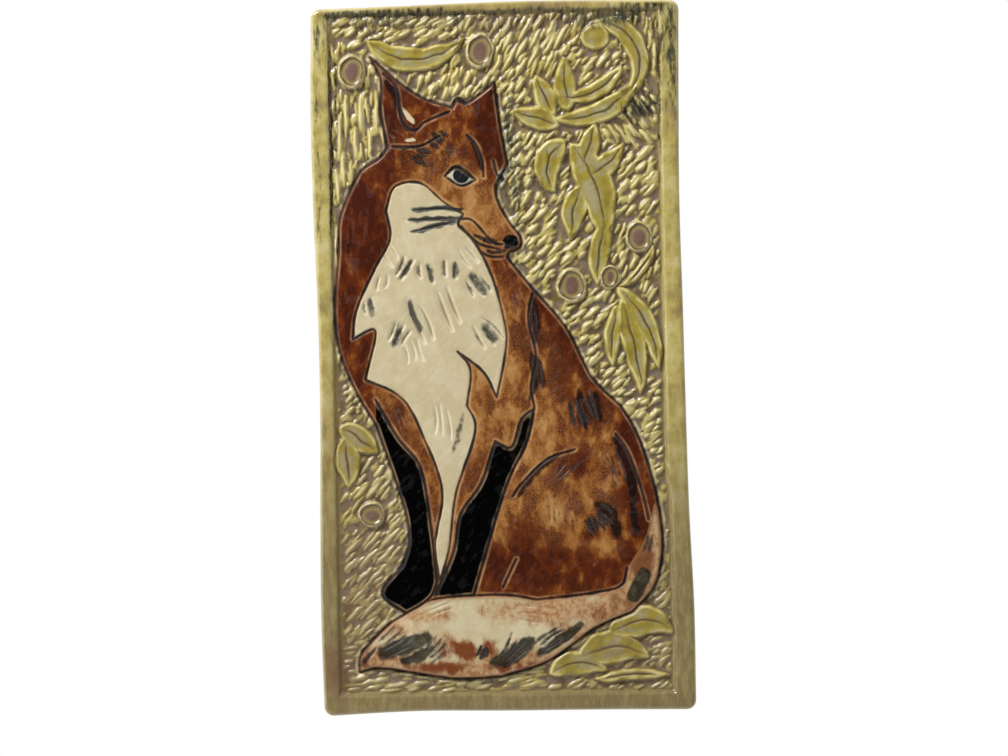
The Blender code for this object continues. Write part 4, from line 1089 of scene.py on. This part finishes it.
def dress_plaque():
    """The plaque as one mesh, with its colouring stored at the vertices."""
    verts, polygons, plan, lie, bare = plaque_mesh()
    lie["tone"] = brushed(plan, TONES, 0.55)
    lie["rust"] = blots(plan, RUST)
    lie["tan"] = blots(plan, TANS)
    everywhere = verts[:, ::2] * 1000.0
    over_all = {
        "stain": blots(everywhere, STAINS),
        "brown": blots(everywhere, BROWNS),
        "edge": nearest(everywhere, closed(slab_ring(0.0)), 9.0)[0],
        "dull": ease(-everywhere[:, 1], 0.0, LOW_END),
        "bare": np.concatenate([np.zeros(len(plan)), bare]),
    }
    for name, values in lie.items():
        over_all[name] = np.concatenate([values, np.full(len(bare), AWAY.get(name, 0.0))])
    mesh = bpy.data.meshes.new("glazed_plaque")
    mesh.from_pydata(verts.tolist(), [], polygons)
    mesh.validate()
    mesh.polygons.foreach_set("use_smooth", [len(polygon.vertices) < 5 for polygon in mesh.polygons])
    for name, values in over_all.items():
        stored = mesh.attributes.new(name, "FLOAT", "POINT")
        stored.data.foreach_set("value", values.astype(np.float32))
    mesh.materials.append(glazed_clay())
    piece = bpy.data.objects.new("glazed_plaque", mesh)
    bpy.context.collection.objects.link(piece)
    return piece


plaque = dress_plaque()
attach(plaque, "root")
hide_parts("plaque")

# The studio. A pale floor well below, white light all round the plaque, a large soft box above it to the
# left and a weak one at either side, so the glaze takes long soft gleams.
FLOOR_Z = -0.7


def plain(name, colour, roughness):
    """Plain matt material."""
    material = bpy.data.materials.new(name)
    material.use_nodes = True
    material.node_tree.nodes["Principled BSDF"].inputs["Base Color"].default_value = colour
    material.node_tree.nodes["Principled BSDF"].inputs["Roughness"].default_value = roughness
    return material


def soft_box(name, place, width, height, power):
    """Soft box that faces the middle of the plaque."""
    data = bpy.data.lights.new(name, "AREA")
    data.shape = "RECTANGLE"
    data.size, data.size_y, data.energy = width, height, power
    light = bpy.data.objects.new(name, data)
    light.location = place
    light.rotation_euler = (-Vector(place)).to_track_quat("-Z", "Y").to_euler()
    bpy.context.collection.objects.link(light)


def white_room():
    """White all round to the eye, with its light dimmer in front, so that dark glaze stays dark."""
    world = bpy.data.worlds.new("white_room")
    bpy.context.scene.world = world
    world.use_nodes = True
    nodes, links = world.node_tree.nodes, world.node_tree.links
    across = nodes.new("ShaderNodeSeparateXYZ")
    links.new(nodes.new("ShaderNodeTexCoord").outputs["Generated"], across.inputs[0])
    share = nodes.new("ShaderNodeMapRange")
    share.inputs["From Min"].default_value, share.inputs["From Max"].default_value = -0.5, 0.35
    share.inputs["To Min"].default_value, share.inputs["To Max"].default_value = 0.01, 0.75
    links.new(across.outputs["Y"], share.inputs["Value"])
    seen = nodes.new("ShaderNodeMath")
    seen.operation = "MAXIMUM"
    links.new(nodes.new("ShaderNodeLightPath").outputs["Is Camera Ray"], seen.inputs[0])
    links.new(share.outputs[0], seen.inputs[1])
    links.new(seen.outputs[0], nodes["Background"].inputs["Strength"])
    nodes["Background"].inputs["Color"].default_value = (1.0, 1.0, 1.0, 1.0)


bpy.ops.mesh.primitive_plane_add(size=5.0, location=(0.0, 1.5, FLOOR_Z))
floor = bpy.context.object
floor.name = "studio_floor"
floor.data.materials.append(plain("pale_floor", (0.86, 0.86, 0.85, 1.0), 0.7))
white_room()
soft_box("above", (-0.85, -0.8, 1.25), 1.0, 0.5, 40.0)
soft_box("left", (-1.5, -0.7, 0.1), 0.4, 1.0, 5.0)
soft_box("right", (1.4, -0.9, 0.6), 0.4, 0.8, 7.0)

# The camera looks straight at the face from a little under two metres. It is rolled by a degree, as
# the plaque was not hung quite true.
LENS, SENSOR = 120.0, 36.0
PICTURE_WIDTH = 0.532
AIM = Vector((0.0013, -THICK / 1000, -0.0111))
ROLL_ANGLE = 1.15
camera = bpy.data.objects.new("camera", bpy.data.cameras.new("camera"))
camera.data.lens, camera.data.sensor_width = LENS, SENSOR
camera.location = AIM - Vector((0.0, PICTURE_WIDTH * LENS / SENSOR, 0.0))
camera.rotation_euler = (math.pi / 2, math.radians(ROLL_ANGLE), 0.0)
bpy.context.collection.objects.link(camera)
bpy.context.scene.camera = camera
bpy.context.scene.view_settings.view_transform = "Standard"
